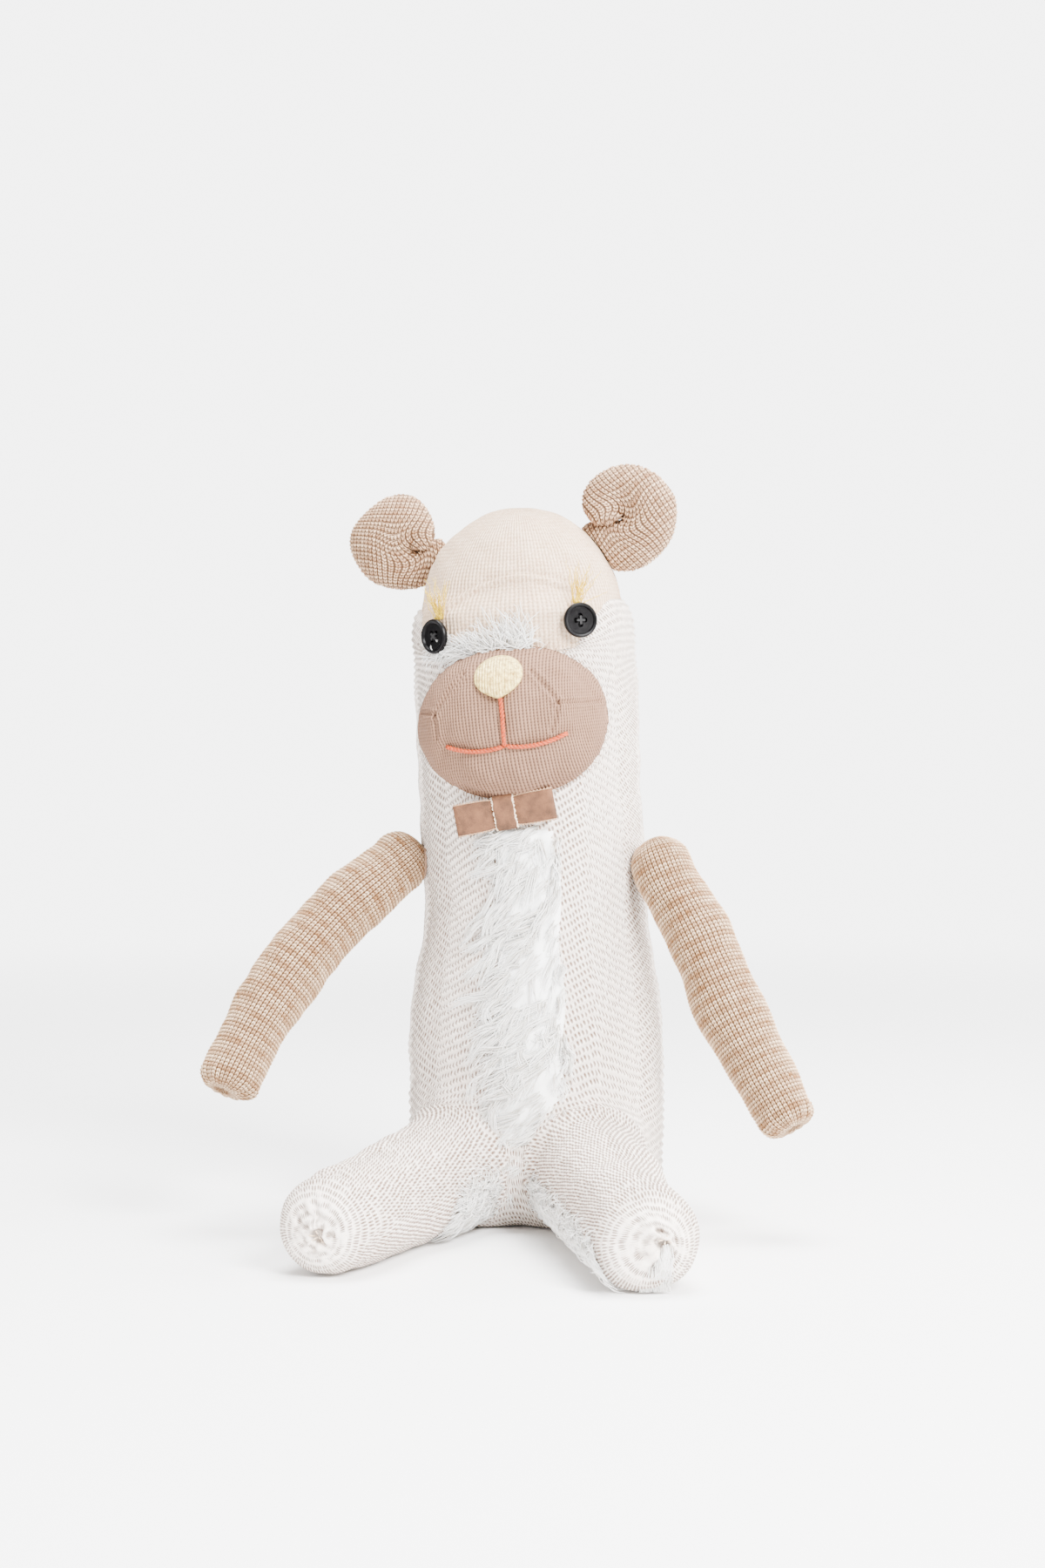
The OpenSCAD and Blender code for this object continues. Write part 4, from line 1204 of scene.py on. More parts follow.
@dataclass
class Ear(Paired):
    """A stuffed marl tube coiled into a roll, its narrow end tucked into the middle."""
    ear_r: float = 21.6
    foot_r: float = 19.0
    angles: tuple[float, float] = (33.0, 42.0)
    gap: float = 0.8
    back: float = 6.0
    rings: int = 373
    columns: int = 180
    wale_mm: float = 2.1
    course_mm: float = 1.75
    dome_r: float = 34.0
    unrolled: float = 32.4
    swirl: float = 1.2
    swirl_r: float = 9.0
    right_larger: float = 1.09
    ring_share: float = 0.53
    spine_share: float = 0.47
    depth_share: float = 0.86

    @property
    def pinch_in(self) -> float:
        """How far the pinch lies from the middle towards the head."""
        return 7.0 if self.side < 0 else 0.5

    @property
    def slant(self) -> float:
        """Turn of the courses from level, radians."""
        return -0.12 if self.side < 0 else 0.55

    @property
    def curl(self) -> float:
        """Share by which the tucked end closes in on the middle."""
        return 0.35 if self.side < 0 else 0.55

    @property
    def start(self) -> float:
        """Angle past the head at which the hidden end starts, radians."""
        return -0.75 if self.side < 0 else -0.7

    @property
    def rim_r(self) -> float:
        """Radius of the coil."""
        return self.ear_r * (1.0 if self.side < 0 else self.right_larger)

    def middle(self) -> tuple[Array, Array]:
        """Middle of the coil, and the direction from the cap out to it, in the upright head.

        Returns:
            Middle (3,) in mm and unit direction (3,).
        """
        f = self.form
        a = math.radians(180 - self.angles[0] if self.side < 0 else self.angles[1])
        mid = f.cap_seam_z - 4
        tall = f.crown_z - mid
        out = unit(np.array([math.cos(a) / f.cap_r, 0, math.sin(a) / tall]))
        foot = np.array([f.cap_r * math.cos(a), self.back, mid + tall * math.sin(a)])
        shift = np.array([-2.0, 0, -3.2]) if self.side > 0 else np.zeros(3)
        return foot + out * (self.foot_r + self.gap) + shift, out

    def knit(self) -> bpy.types.Object:
        """Build the coil: a fat tube bent round until its middle closes, its two ends overlapping.

        Each ring is a circle drawn from the pinch to a point of the rim, so the tube is thick where the
        rim is far from the pinch. One end is tucked into the middle as a knob; the other passes behind.
        Courses lie level across the ear, at an arc sine of the distance from the pinch, and swirl round
        it by a bell of that distance. The cap flattens whatever would stand inside it.

        Returns:
            The ear.
        """
        f = self.form
        middle, out = self.middle()
        t = np.linspace(0, 1, self.rings)
        sense = -1 if self.side < 0 else 1
        late = smooth((t - 0.76) / 0.24)
        angle = math.atan2(-out[2], -out[0]) + sense * (self.start + 2 * math.pi * 1.07 * t)
        radial = np.stack([np.cos(angle), 0 * t, np.sin(angle)], -1)
        pinch = middle - out * self.pinch_in
        rim = middle + self.rim_r * radial
        across = unit(rim - pinch)
        r = self.ring_share * np.linalg.norm(rim - pinch, axis=-1)
        r = r * (1 - 0.34 * late) * (0.88 + 0.12 * smooth(t / 0.15))
        for near in (1 - t, t):
            r = r * np.sqrt(np.clip(1 - (np.clip(near, 0, 0.07) / 0.07 - 1) ** 2, 0.004, 1))
        forward = np.array([0, -1.0, 0])
        spine = pinch + self.spine_share * (rim - pinch) * (1 - self.curl * late)[:, None]
        spine = spine + np.outer(late * 6.5 - 3.0 * (1 - smooth(t / 0.25)), forward)
        theta = np.linspace(0, 2 * math.pi, self.columns, endpoint=False)[None]
        round_out = (np.cos(theta)[..., None] * across[:, None]
                     + self.depth_share * np.sin(theta)[..., None] * forward)
        rough = spine[:, None] + r[:, None, None] * round_out
        flat = rough - pinch
        far = np.hypot(flat[..., 0], flat[..., 2]) + 1e-6
        arc = self.unrolled * np.arcsin(np.clip(far / self.dome_r, 0, 0.98)) / far
        turn = sense * self.swirl * np.exp(-(far / self.swirl_r) ** 2) - self.slant
        u = arc * (flat[..., 0] * np.cos(turn) - flat[..., 2] * np.sin(turn)) / self.wale_mm
        v = arc * (flat[..., 0] * np.sin(turn) + flat[..., 2] * np.cos(turn)) / self.course_mm
        relief = stocking(u, v)
        u, v = (np.concatenate([w, w[:, :1]], 1) for w in (u, v))
        lumps = 0.7 * ripple(rough, 26, 31 + self.side)
        swell = (0.85 * (relief - 0.5) + lumps) * smooth(r[:, None] / 5)
        points = spine[:, None] + (r[:, None] + swell)[..., None] * round_out
        mid = f.cap_seam_z - 4
        size = np.array([f.cap_r, f.cap_r, f.crown_z - mid]) + 0.3
        inside = np.linalg.norm((points - [0, 0, mid]) / size, axis=-1)
        points = np.where((inside < 1)[..., None],
                          (points - [0, 0, mid]) / inside[..., None] + [0, 0, mid], points)
        uv = np.stack(np.broadcast_arrays(u, v), -1)
        piece = ringed(f"{self.name}_ear_knit", f.lean(points, True), uv, self.finishes.ear, relief)
        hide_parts(f"{self.name}_ear_skin", f"{self.name}_ear_stuffing", f"{self.name}_ear_thread")
        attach(piece, f"{self.name}_ear")
        return piece

    def build(self) -> list[bpy.types.Object]:
        """Build the coil."""
        return [self.knit()]


# ---- the face ----

@dataclass
class Face:
    """Muzzle, nose, mouth, lashes and the pieces that hold the eyes, their black shanks partly painted shade,
    all on the leaning head.
    """
    form: BodyForm
    finishes: Finishes
    half_w: float = 41.4
    half_h: float = 33.4
    bulge: float = 31.0
    smile_w: float = 52.0
    mouth_up: float = -10.0
    nose_w: float = 21.0
    nose_h: float = 17.0
    nose_up: float = 20.0
    eye_x: tuple[float, float] = (26.5, 32.0)
    eye_up: float = 40.0

    def on_muzzle(self, right: Array, up: Array, off: Array | float) -> Array:
        """Point in front of the muzzle: an ellipsoid whose front stands bulge before its middle.

        Args:
            right: Place to the right of the muzzle's middle, mm.
            up: Place above it, mm.
            off: Distance in front of the cloth, mm.

        Returns:
            Points in the upright head.
        """
        q = np.clip(1 - (right / self.half_w) ** 2 - (up / self.half_h) ** 2, 0, 1)
        x, z = self.form.face(right, up)
        y = -(self.form.chest_r - 8) - (self.bulge + 0.4 + off) * np.sqrt(q) - 0.4 * off
        return np.stack(np.broadcast_arrays(x, y, z), -1)

    def seams(self) -> list[Array]:
        """Flat paths of the heel's gusset seams, right and up from the muzzle's middle."""
        return [np.array([[24.0, 5.8], [39.5, 4.6]]), np.array([[24.0, 5.8], [19, 14], [13.5, 20.5]]),
                np.array([[24.0, 5.8], [22.5, 0], [20.4, -6.0]]), np.array([[-29.0, 6.5], [-29.6, -3.5]]),
                np.array([[-29.0, 6.5], [-38.5, 8.5]]), np.array([[-29.0, 6.5], [-22, 16], [-15, 22]])]

    def muzzle(self) -> bpy.types.Object:
        """Build the heel pocket as rings from its front to its rim, with seams and stitch dimples.

        Ring v, side u lies at (w sin, h sin) of v times 76 + 36 cos^2 u degrees, so the sides wrap
        further round than the top and bottom. Seams are bells across their paths; small gathers run
        round the rim, where the ladder stitch pulls it to the head.

        Returns:
            The muzzle.
        """
        f = self.form
        sides, steps = 220, 110
        u = np.linspace(0, 2 * math.pi, sides, endpoint=False)[None]
        v = np.linspace(0.004, 1, steps)[:, None]
        w = np.radians(v * (76 + 36 * np.cos(u) ** 2))
        right, up = self.half_w * np.sin(w) * np.cos(u), self.half_h * np.sin(w) * np.sin(u)
        x, z = f.face(right, up)
        rim_y = -np.sqrt((f.chest_r + 0.7) ** 2 - x * x)
        y = np.minimum(rim_y, -(f.chest_r - 8) - (self.bulge + 0.4) * np.cos(w))
        points = np.stack([x, y, z], -1)
        centre = np.stack([f.face(0 * u, 0 * u)[0] + 0 * w, 0 * w - 38, f.face(0 * u, 0 * u)[1] + 0 * w], -1)
        out = unit((points - centre) / np.array([self.half_w, self.bulge, self.half_h]) ** 1.4)
        flat = np.stack([right, up], -1)
        swell = 0.6 * ripple(points, 26, 41) + 0.25 * ripple(points, 9, 42)
        groove = np.zeros_like(swell)
        for path in self.seams():
            d = near_path(flat, path)
            groove += np.exp(-(d / 0.7) ** 2) - 0.55 * np.exp(-((d - 1.7) / 0.8) ** 2)
        mouth = np.minimum(near_path(flat, self.smile_path(-1)), near_path(flat, self.smile_path(1)))
        mouth = np.minimum(mouth, near_path(flat, np.array([[0.4, 12.0], [0.0, self.mouth_up]])))
        dent = 1.5 * np.exp(-(mouth / 3.4) ** 2)
        at_rim = smooth((v - 0.84) / 0.16)
        gather = 0.22 * np.cos(u * 42 + 2 * np.sin(3 * u)) * at_rim * (1 - at_rim) * 4
        points = points + out * ((swell - 0.75 * groove - dent) * (1 - at_rim) + gather)[..., None]
        back = points[-1:] * [1, 0, 1] + np.array([0, 1, 0]) * (points[-1:, :, 1:2] + 2.5)
        rings = np.concatenate([points, back])
        # The seams lower the yarn height, which the material paints as shade along them
        relief = np.concatenate([0.75 - 0.6 * np.clip(groove, 0, 1), np.full((1, sides), 0.5)])
        spread_x = right / np.maximum(np.sqrt(np.maximum(1 - 0.55 * (right / self.half_w) ** 2, 0.1)), 0.1)
        spread_x = spread_x + np.sign(right) * np.maximum(np.degrees(w) - 90, 0) * 0.25
        grid = np.stack([spread_x / 1.6, up / 1.3], -1)
        grid = np.concatenate([grid, grid[-1:]])
        uv = np.concatenate([grid, grid[:, :1]], 1)
        piece = ringed("muzzle_knit", f.lean(rings, True), uv, self.finishes.tan, relief)
        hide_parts("muzzle_skin", "muzzle_stuffing")
        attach(piece, "head")
        return piece

    def ladder(self) -> bpy.types.Object:
        """Short slanting stitches all round the muzzle that catch its rim to the head.

        Returns:
            The stitches.
        """
        f = self.form
        count = 64
        u = np.linspace(0, 2 * math.pi, count, endpoint=False)
        w = np.radians(76 + 36 * np.cos(u) ** 2)
        made = []
        for k in range(count):
            t = np.linspace(0, 1, 6)
            spread = -0.8 + 2.6 * t
            a = u[k] + 0.022 * t
            right = (self.half_w * math.sin(w[k]) + spread) * np.cos(a)
            up = (self.half_h * math.sin(w[k]) + spread) * np.sin(a)
            x, z = f.face(right, up)
            off = 0.75 + 0.55 * np.sin(math.pi * t)
            y = -np.sqrt((f.chest_r + off) ** 2 - np.minimum(x * x, 2300))
            made.append(tube("stitch", f.lean(np.stack([x, y, z], -1), True), 0.2,
                             np.array([0.1, 1.0, 0.13]), self.finishes.tacking, 5))
        piece = joined(made, "muzzle_ladder_stitch")
        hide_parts("muzzle_seam_thread")
        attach(piece, "head")
        return piece

    def nose(self) -> bpy.types.Object:
        """Build the satin-stitched nose: upright threads side by side over a padded oval.

        Column by column the closed outline of the patch is carried across its width; its height is the
        root of one less the squared place, and each thread is a cosine ridge across it.

        Returns:
            The nose.
        """
        threads = 17
        x = np.linspace(-0.995, 0.995, threads * 8 + 1)[:, None]
        half = np.sqrt(1 - x * x)
        front = np.linspace(-1, 1, 26)[None]
        tall = half * front
        edge = np.sqrt(np.clip(1 - (x * x + tall * tall), 0, 1))
        point_down = 1 + 0.14 * np.exp(-(x / 0.35) ** 2) * (tall < 0)
        right = x * self.nose_w / 2 + 0 * front
        up = self.nose_up + tall * self.nose_h / 2 * point_down
        ridge = 0.5 + 0.5 * np.cos(2 * math.pi * x * threads / 2)
        stray = 0.12 * ripple(np.stack([right, up, 0 * up], -1), 3.0, 51)
        off = 0.5 + 2.2 * edge ** 0.7 + 0.5 * ridge * (0.3 + 0.7 * edge) + stray * edge
        face = self.on_muzzle(right, up, off)
        back = self.on_muzzle(right[:, ::-1] * 0.98, self.nose_up + (up[:, ::-1] - self.nose_up) * 0.96, -0.8)
        rings = np.concatenate([face, back[:, ::4]], 1)
        grid = np.concatenate([np.stack([right, up], -1), np.stack([right[:, ::4], up[:, ::4]], -1)], 1)
        uv = np.concatenate([grid, grid[:, :1]], 1)
        piece = ringed("nose_satin_stitch", self.form.lean(rings, True), uv, self.finishes.nose)
        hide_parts("nose_patch")
        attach(piece, "head")
        return piece

    def smile_path(self, side: int) -> Array:
        """Flat path of one half of the smile, from the middle out, sagging on its way.

        Args:
            side: -1 for the left half, 1 for the right.

        Returns:
            Places (12, 2) right and up from the muzzle's middle, mm.
        """
        t = np.linspace(0, 1, 12)
        right = side * (0.6 + (self.smile_w / 2 - 0.6) * t)
        up = self.mouth_up + 2.6 * t ** 2.2 - 2.6 * 4 * t * (1 - t) * 0.55
        return np.stack([right, up], -1)

    def embroidered(self, name: str, flat: Array, node: str) -> bpy.types.Object:
        """Lay two twisted strands along a flat path on the muzzle.

        Each strand winds round the path by cosine and sine of its length over a 3.4 mm twist.

        Args:
            name: Name of the piece.
            flat: Path right and up from the muzzle's middle.
            node: CAD node that it stands for.

        Returns:
            The thread.
        """
        line = along(flat, 70)
        run = np.concatenate([[0], np.cumsum(np.linalg.norm(np.diff(line, axis=0), axis=1))])
        heading = unit(np.gradient(line, axis=0))
        made = []
        for phase in (0.0, math.pi):
            a = 2 * math.pi * run / 3.4 + phase
            side = np.stack([-heading[:, 1], heading[:, 0]], -1) * (0.44 * np.cos(a))[:, None]
            ends = np.minimum(run, run[-1] - run)
            off = -0.45 + 0.30 * np.sin(a) + 0.15 - 1.6 * np.exp(-(ends / 0.7) ** 2)
            path = self.on_muzzle(line[:, 0] + side[:, 0], line[:, 1] + side[:, 1], off)
            made.append(tube("strand", self.form.lean(path, True), 0.56, np.array([0.02, 1.0, 0.03]),
                             self.finishes.coral, 8))
        piece = joined(made, name)
        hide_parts(node)
        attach(piece, "head")
        return piece

    def eye_frame(self, side: int) -> tuple[Array, Array, Array, Array]:
        """Place of an eye on the head and its right, up and outward vectors, in the upright head.

        Args:
            side: -1 for the left eye, 1 for the right.

        Returns:
            Place (3,) in mm, then the three unit vectors (3,).
        """
        x, z = self.form.face(np.array(side * self.eye_x[0 if side < 0 else 1]), np.array(self.eye_up))
        y = -math.sqrt(self.form.chest_r ** 2 - float(x) ** 2)
        out = unit(np.array([float(x), y, 0]))
        return np.array([float(x), y, float(z)]), np.array([-out[1], out[0], 0]), np.array([0, 0, 1.0]), out

    def lashes(self, side: int) -> bpy.types.Object:
        """A fan of crinkled gold strands above an eye, each a line bent by two small waves.

        Args:
            side: -1 left, 1 right.

        Returns:
            The tuft.
        """
        rng = np.random.default_rng(60 + side)
        place, right, up, out = self.eye_frame(side)
        count, steps = 26, 14
        t = np.linspace(0, 1, steps)[None, :, None]
        fan = np.radians(rng.normal(14 * side if side > 0 else -10, 19, count))[:, None, None]
        length = rng.uniform(10.0, 19.0, count)[:, None, None]
        lift = rng.uniform(-0.5, 3.2, count)[:, None, None]
        phase = rng.uniform(0, 6.28, (2, count))[:, :, None, None]
        crimp = 0.55 * t * np.sin(t * 17 + phase[0])
        root = place + up * 7.4 + right * rng.normal(0, 1.6, (count, 1, 1)) + out * 1.2
        paths = (root + up * length * t * np.cos(fan) + right * (length * t * np.sin(fan) + crimp)
                 + out * (lift * t ** 1.3 + 0.6 * t * np.sin(t * 13 + phase[1])))
        name = f"{side_name(side)}_lash"
        piece = hairs(f"{name}_strands", self.form.lean(paths, True), 0.26, self.finishes.gold)
        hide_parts(f"{name}_tuft")
        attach(piece, "head")
        return piece

    def shank(self, side: int) -> bpy.types.Object:
        """Thread wound round the stitches behind a button, made wide enough to close its four holes from
        behind, so it also stands as painted shade in them.

        Args:
            side: -1 left, 1 right.

        Returns:
            The winding.
        """
        place, _, _, out = self.eye_frame(side)
        a = math.radians(-9 if side > 0 else 0)
        out = np.array([out[0] * math.cos(a) - out[1] * math.sin(a),
                        out[0] * math.sin(a) + out[1] * math.cos(a), 0])
        lift = np.array([0.3, 0.5, 1.0, 1.5, 2.0, 2.5, 3.0, 3.35])
        path = place + lift[:, None] * out
        width = np.array([1.2, 1.7, 1.9, 1.7, 1.9, 2.4, 3.3, 3.4])
        piece = tube(f"{side_name(side)}_eye_shank_and_shade", self.form.lean(path, True), width,
                     np.array([0.05, 0.1, 1.0]), self.finishes.black, 24)
        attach(piece, f"{side_name(side)}_eye")
        return piece

    def build(self) -> list[bpy.types.Object]:
        """Build every piece of the face."""
        philtrum = np.array([[0.5, 13.0], [0.8, 3.0], [0.0, self.mouth_up - 0.4]])
        return [self.muzzle(), self.ladder(), self.nose(),
                self.embroidered("philtrum_strands", philtrum, "philtrum_thread"),
                self.embroidered("left_smile_strands", self.smile_path(-1), "left_smile_thread"),
                self.embroidered("right_smile_strands", self.smile_path(1), "right_smile_thread"),
                self.lashes(-1), self.lashes(1), self.shank(-1), self.shank(1)]


# ---- the bow ----

@dataclass
class Bow:
    """A velvet ribbon folded into two flat loops, wrapped once round and tacked to the chest."""
    form: BodyForm
    finishes: Finishes
    wide: float = 44.0
    ribbon_w: float = 12.7
    ribbon_t: float = 1.0
    bow_z: float = 174.5
    tilt: float = 8.0
    band_w: float = 8.5
    shift: tuple[float, float] = (-3.4, 4.3)

    def to_toy(self, p: Array) -> Array:
        """Bow points, X along the ribbon and Z across it, into the toy's frame.

        Args:
            p: Points (..., 3) in the bow's own frame, mm.

        Returns:
            The same points on the chest.
        """
        a = -math.radians(self.tilt)
        x, z = p[..., 0], p[..., 2]
        turned = np.stack([x * math.cos(a) + z * math.sin(a), p[..., 1] - self.form.chest_r - 0.6,
                           z * math.cos(a) - x * math.sin(a)], -1)
        return self.form.lean(turned + np.array([self.shift[0], 0, self.bow_z + self.shift[1]]), True)

    def loop(self) -> tuple[Array, Array]:
        """Closed path of the folded ribbon seen from above, and how much it is pinched at the knot.

        Returns:
            Path (n, 2) as X and Y, and pinch (n,) from 0 at the tips to 1 at the knot.
        """
        half = self.wide / 2
        a = np.linspace(0, math.pi, 9)
        x_line = np.linspace(-half + 2.2, half - 2.2, 41)
        dip = np.exp(-(x_line / 5.5) ** 2)
        front = np.stack([x_line, -4.2 + dip - 0.5 * np.abs(x_line) / half], -1)
        bend_r = np.stack([half - 2.2 + 1.6 * np.sin(a[1:-1]), -3.2 - 1.5 * np.cos(a[1:-1])], -1)
        back = np.stack([x_line[::-1], -1.7 + 0 * x_line], -1)
        bend_l = bend_r[::-1] * [-1, 1]
        path = along(np.concatenate([front, bend_r, back, bend_l, front[:1]]), 181)[:-1]
        return path, np.exp(-(path[:, 0] / 6.0) ** 2)

    @staticmethod
    def section(count: int) -> Array:
        """Outline of a flat strip one wide and one thick: out along its face and back along its rear."""
        across = np.linspace(-0.5, 0.5, count)
        return np.concatenate([np.stack([across, 0 * across + 0.5], -1),
                               np.stack([across[::-1], 0 * across - 0.5], -1)])

    def sheet(self, name: str, path: Array, width: Array, thick: float, fold: Array,
              shader: Shader) -> bpy.types.Object:
        """Ribbon on edge: a flat section carried round a closed path.

        Args:
            name: Name of the piece.
            path: Closed path (n, 2), X and Y.
            width: Ribbon width at each point.
            thick: Ribbon thickness.
            fold: Depth of three lengthwise folds at each point.
            shader: Material.

        Returns:
            The ribbon.
        """
        step = unit(np.roll(path, -1, 0) - np.roll(path, 1, 0))
        side = np.stack([step[:, 1], -step[:, 0]], -1)
        section = self.section(25)
        off = section[None, :, 1] * thick + fold[:, None] * np.cos(section[None, :, 0] * 6 * math.pi)
        xy = path[:, None] + side[:, None] * off[..., None]
        z = section[None, :, 0] * width[:, None]
        rings = np.concatenate([xy, z[..., None]], -1)
        run = np.arange(len(path))[:, None] * 0.5
        uv = np.stack(np.broadcast_arrays(np.linspace(0, 1, section.shape[0] + 1)[None], run), -1)
        return ringed(name, self.to_toy(rings), uv, shader, ends=Ends.JOINED)

    def build(self) -> list[bpy.types.Object]:
        """Build ribbon, picot edges, wrapped middle and its stitches.

        Returns:
            The bow's pieces.
        """
        path, pinch = self.loop()
        width = self.ribbon_w * (1 - 0.16 * pinch)
        ribbon = self.sheet("bow_velvet", path, width, self.ribbon_t, 0.45 * pinch, self.finishes.velvet)
        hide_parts("bow_ribbon")
        a = np.linspace(0, 2 * math.pi, 49)
        band_path = along(np.stack([-2.9 - 3.1 * np.cos(a), 7.1 * np.sin(a)], -1), 97)[:-1]
        keep = np.abs(band_path) ** 0.75 * np.sign(band_path)
        ring = np.stack([-2.9 + (keep[:, 0] - keep[:, 0].mean()) * 1.12, keep[:, 1] * 1.62], -1)
        step = unit(np.roll(ring, -1, 0) - np.roll(ring, 1, 0))
        side = np.stack([step[:, 1], -step[:, 0]], -1)
        section = self.section(17)
        yz = ring[:, None] + side[:, None] * (section[None, :, 1:2] * self.ribbon_t)
        x = (section[None, :, 0] * self.band_w * (1 + 0.05 * np.sin(np.arange(len(ring)) * 0.4))[:, None])
        rings = np.stack([x, yz[..., 0], yz[..., 1]], -1)
        uv = np.stack(np.broadcast_arrays(np.linspace(0, 1, section.shape[0] + 1)[None],
                                          np.arange(len(ring))[:, None] * 0.5), -1)
        band = ringed("bow_wrap", self.to_toy(rings), uv, self.finishes.velvet, ends=Ends.JOINED)
        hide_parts("bow_band")
        picots = joined([self.picot(path, width, edge) for edge in (-1, 1)], "bow_edges")
        seams = joined([self.wrap_edge(ring, edge) for edge in (-1, 1)], "bow_wrap_edges")
        for piece in (ribbon, band, picots, seams):
            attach(piece, "bow")
        return [ribbon, band, picots, seams]

    def picot(self, path: Array, width: Array, edge: int) -> bpy.types.Object:
        """Woven loop edge of the ribbon: a cord that steps in and out every 1.5 mm.

        Args:
            path: Closed path of the ribbon.
            width: Ribbon width along it.
            edge: -1 lower, 1 upper.

        Returns:
            The edge.
        """
        count = 480
        at = np.arange(count) / count * len(path)
        loop = np.concatenate([path, path[:1]])
        x, y = (np.interp(at, np.arange(len(loop)), loop[:, k]) for k in (0, 1))
        half = np.interp(at, np.arange(len(path)), width) / 2
        z = edge * (half + 0.15 + 0.38 * np.cos(np.arange(count) / count * 2 * math.pi * 60))
        return tube("edge", self.to_toy(np.stack([x, y, z], -1)), 0.3, np.array([0.13, 0.1, 1.0]),
                    self.finishes.picot, 6, Ends.JOINED)

    def wrap_edge(self, ring: Array, edge: int) -> bpy.types.Object:
        """The same edge on the wrapped middle, one side of it.

        Args:
            ring: Outline (n, 2) of the wrapped band in Y and Z, mm.
            edge: -1 for the left edge, 1 for the right.

        Returns:
            The edge as a closed cord.
        """
        loop = np.concatenate([ring, ring[:1]])
        count = 160
        at = np.arange(count) / count * len(ring)
        y, z = (np.interp(at, np.arange(len(loop)), loop[:, k]) for k in (0, 1))
        x = edge * (self.band_w / 2 + 0.1 + 0.3 * np.cos(np.arange(count) / count * 2 * math.pi * 22))
        return tube("wrap_edge", self.to_toy(np.stack([x, y, z], -1)), 0.42, np.array([1.0, 0.1, 0.13]),
                    self.finishes.cream_thread, 6, Ends.JOINED)


# ---- the pile ----

@dataclass
class Pile:
    """Strips of long white pile: strands in loose locks that lie down the way they were brushed."""
    form: BodyForm
    finishes: Finishes

    def comb(self, turn: Array, z: Array, length: Array, lean_left: Array, seed: int,
             rise: float = 3.2, steps: int = 7) -> Array:
        """Strands on the body: each leaves the cloth, bends over, and runs left and down along it.

        Share t of a strand lies t times its length along the cloth, in a direction that turns down as
        it goes; its height off the cloth rises as a root and falls off towards the tip. Locks pull
        the tips of neighbours together, by a wave that many strands share.

        Args:
            turn: Root angle from the front, radians.
            z: Root height.
            length: Strand lengths.
            lean_left: Share of the length that goes left instead of down.
            seed: Seed of the strays.
            rise: Height of the bend off the cloth.
            steps: Points on a strand.

        Returns:
            Paths (strands, steps, 3).
        """
        rng = np.random.default_rng(seed)
        n = len(turn)
        t = np.linspace(0, 1, steps)[None]
        lock = rng.integers(0, max(n // 11, 1), n)
        first = np.unique(lock, return_index=True)[1]
        leader = first[np.searchsorted(np.unique(lock), lock)]
        turn = turn[leader] + rng.normal(0, 0.016, n)
        z = z[leader] + rng.normal(0, 0.9, n)
        length = length[leader] * rng.uniform(0.75, 1.1, n)
        shared, own = rng.normal(0, 1, (4, n))[:, leader][:, :, None], rng.normal(0, 1, (4, n))[:, :, None]
        left = np.clip(lean_left[leader][:, None] + 0.22 * shared[0] + 0.06 * own[0], -0.6, 1.25)
        bend = length[:, None] * t
        curl = np.sin(5.0 * t + 2.2 * shared[2] + 0.3 * own[2]) * (1.5 * shared[1] + 0.4 * own[1])
        wave = np.cos(4.4 * t + 2.2 * shared[2] + 0.3 * own[2]) * (1.2 * shared[0] + 0.4 * own[3])
        across = -np.sin(np.clip(left, -1.4, 1.4)) * bend * 1.05 + t * curl
        down = -np.cos(np.clip(left, -1.4, 1.4)) * bend * (0.55 + 0.45 * t) + t * wave
        off = 0.5 + (rise + 1.2 * shared[3] + 0.35 * own[3]) * np.sin(np.clip(t * 1.1, 0, 1) * math.pi * 0.86)
        off = np.maximum(off + 0.5 * np.sin(t * 6 + own[2]) * t, 0.45)
        height = np.maximum(z[:, None] + down, 9.0 + 3 * np.sin(turn[:, None] * 40))
        return self.form.place(turn[:, None] + across / 52, height, off)

    def chest(self) -> list[bpy.types.Object]:
        """Build the chest strip: a soft backing and its strands.

        Returns:
            The backing, then the strands.
        """
        f = self.form
        rng = np.random.default_rng(71)
        z = np.linspace(18, 171, 146)[:, None]
        side = np.linspace(-1, 1, 33)[None]
        middle, half = 4.0 + 2.0 * np.sin(z / 60), 15.0 - 3.0 * smooth((30 - z) / 30)
        turn = np.radians(middle + half * side + 0.9 * np.sin(z / 7) * side ** 2)
        ends = np.clip(np.minimum(z - 18, 171 - z) / 5, 0, 1)
        off = 0.3 + 1.7 * np.sqrt(1 - side ** 2 * 0.97) * np.sqrt(ends)
        face = f.place(turn, z + 0 * side, off + 0 * z)
        face = face + np.array([0, -1, 0]) * (0.35 * ripple(face, 6, 72) * ends)[..., None]
        back = f.place(turn[:, ::-1], z + 0 * side, -0.8 + 0 * turn)
        rings = np.concatenate([face, back[:, ::4]], 1)
        uv = np.zeros((rings.shape[0], rings.shape[1] + 1, 2))
        backing = ringed("chest_pile_backing", rings, uv, self.finishes.pile)
        n = 3300
        place = rng.uniform(-1, 1, n)
        height = rng.uniform(19, 172, n)
        centre, wide = 3.8 + 2.0 * np.sin(height / 60), 16.5 - 3.0 * smooth((30 - height) / 30)
        edge = smooth((place - 0.55) / 0.45)
        long = rng.uniform(10, 21, n) * (1 - 0.45 * edge) * (0.8 + 0.2 * smooth((height - 26) / 50))
        left = rng.uniform(0.3, 1.25, n) * (1 - 0.8 * edge) - 0.1 * edge
        paths = self.comb(np.radians(centre + wide * place), height, long, left, 73)
        strands = hairs("chest_pile", paths, 0.27, self.finishes.pile,
                        unit(paths * [1, 1, 0]))
        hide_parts("chest_fur")
        for piece in (backing, strands):
            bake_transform(piece)
        return [backing, strands]

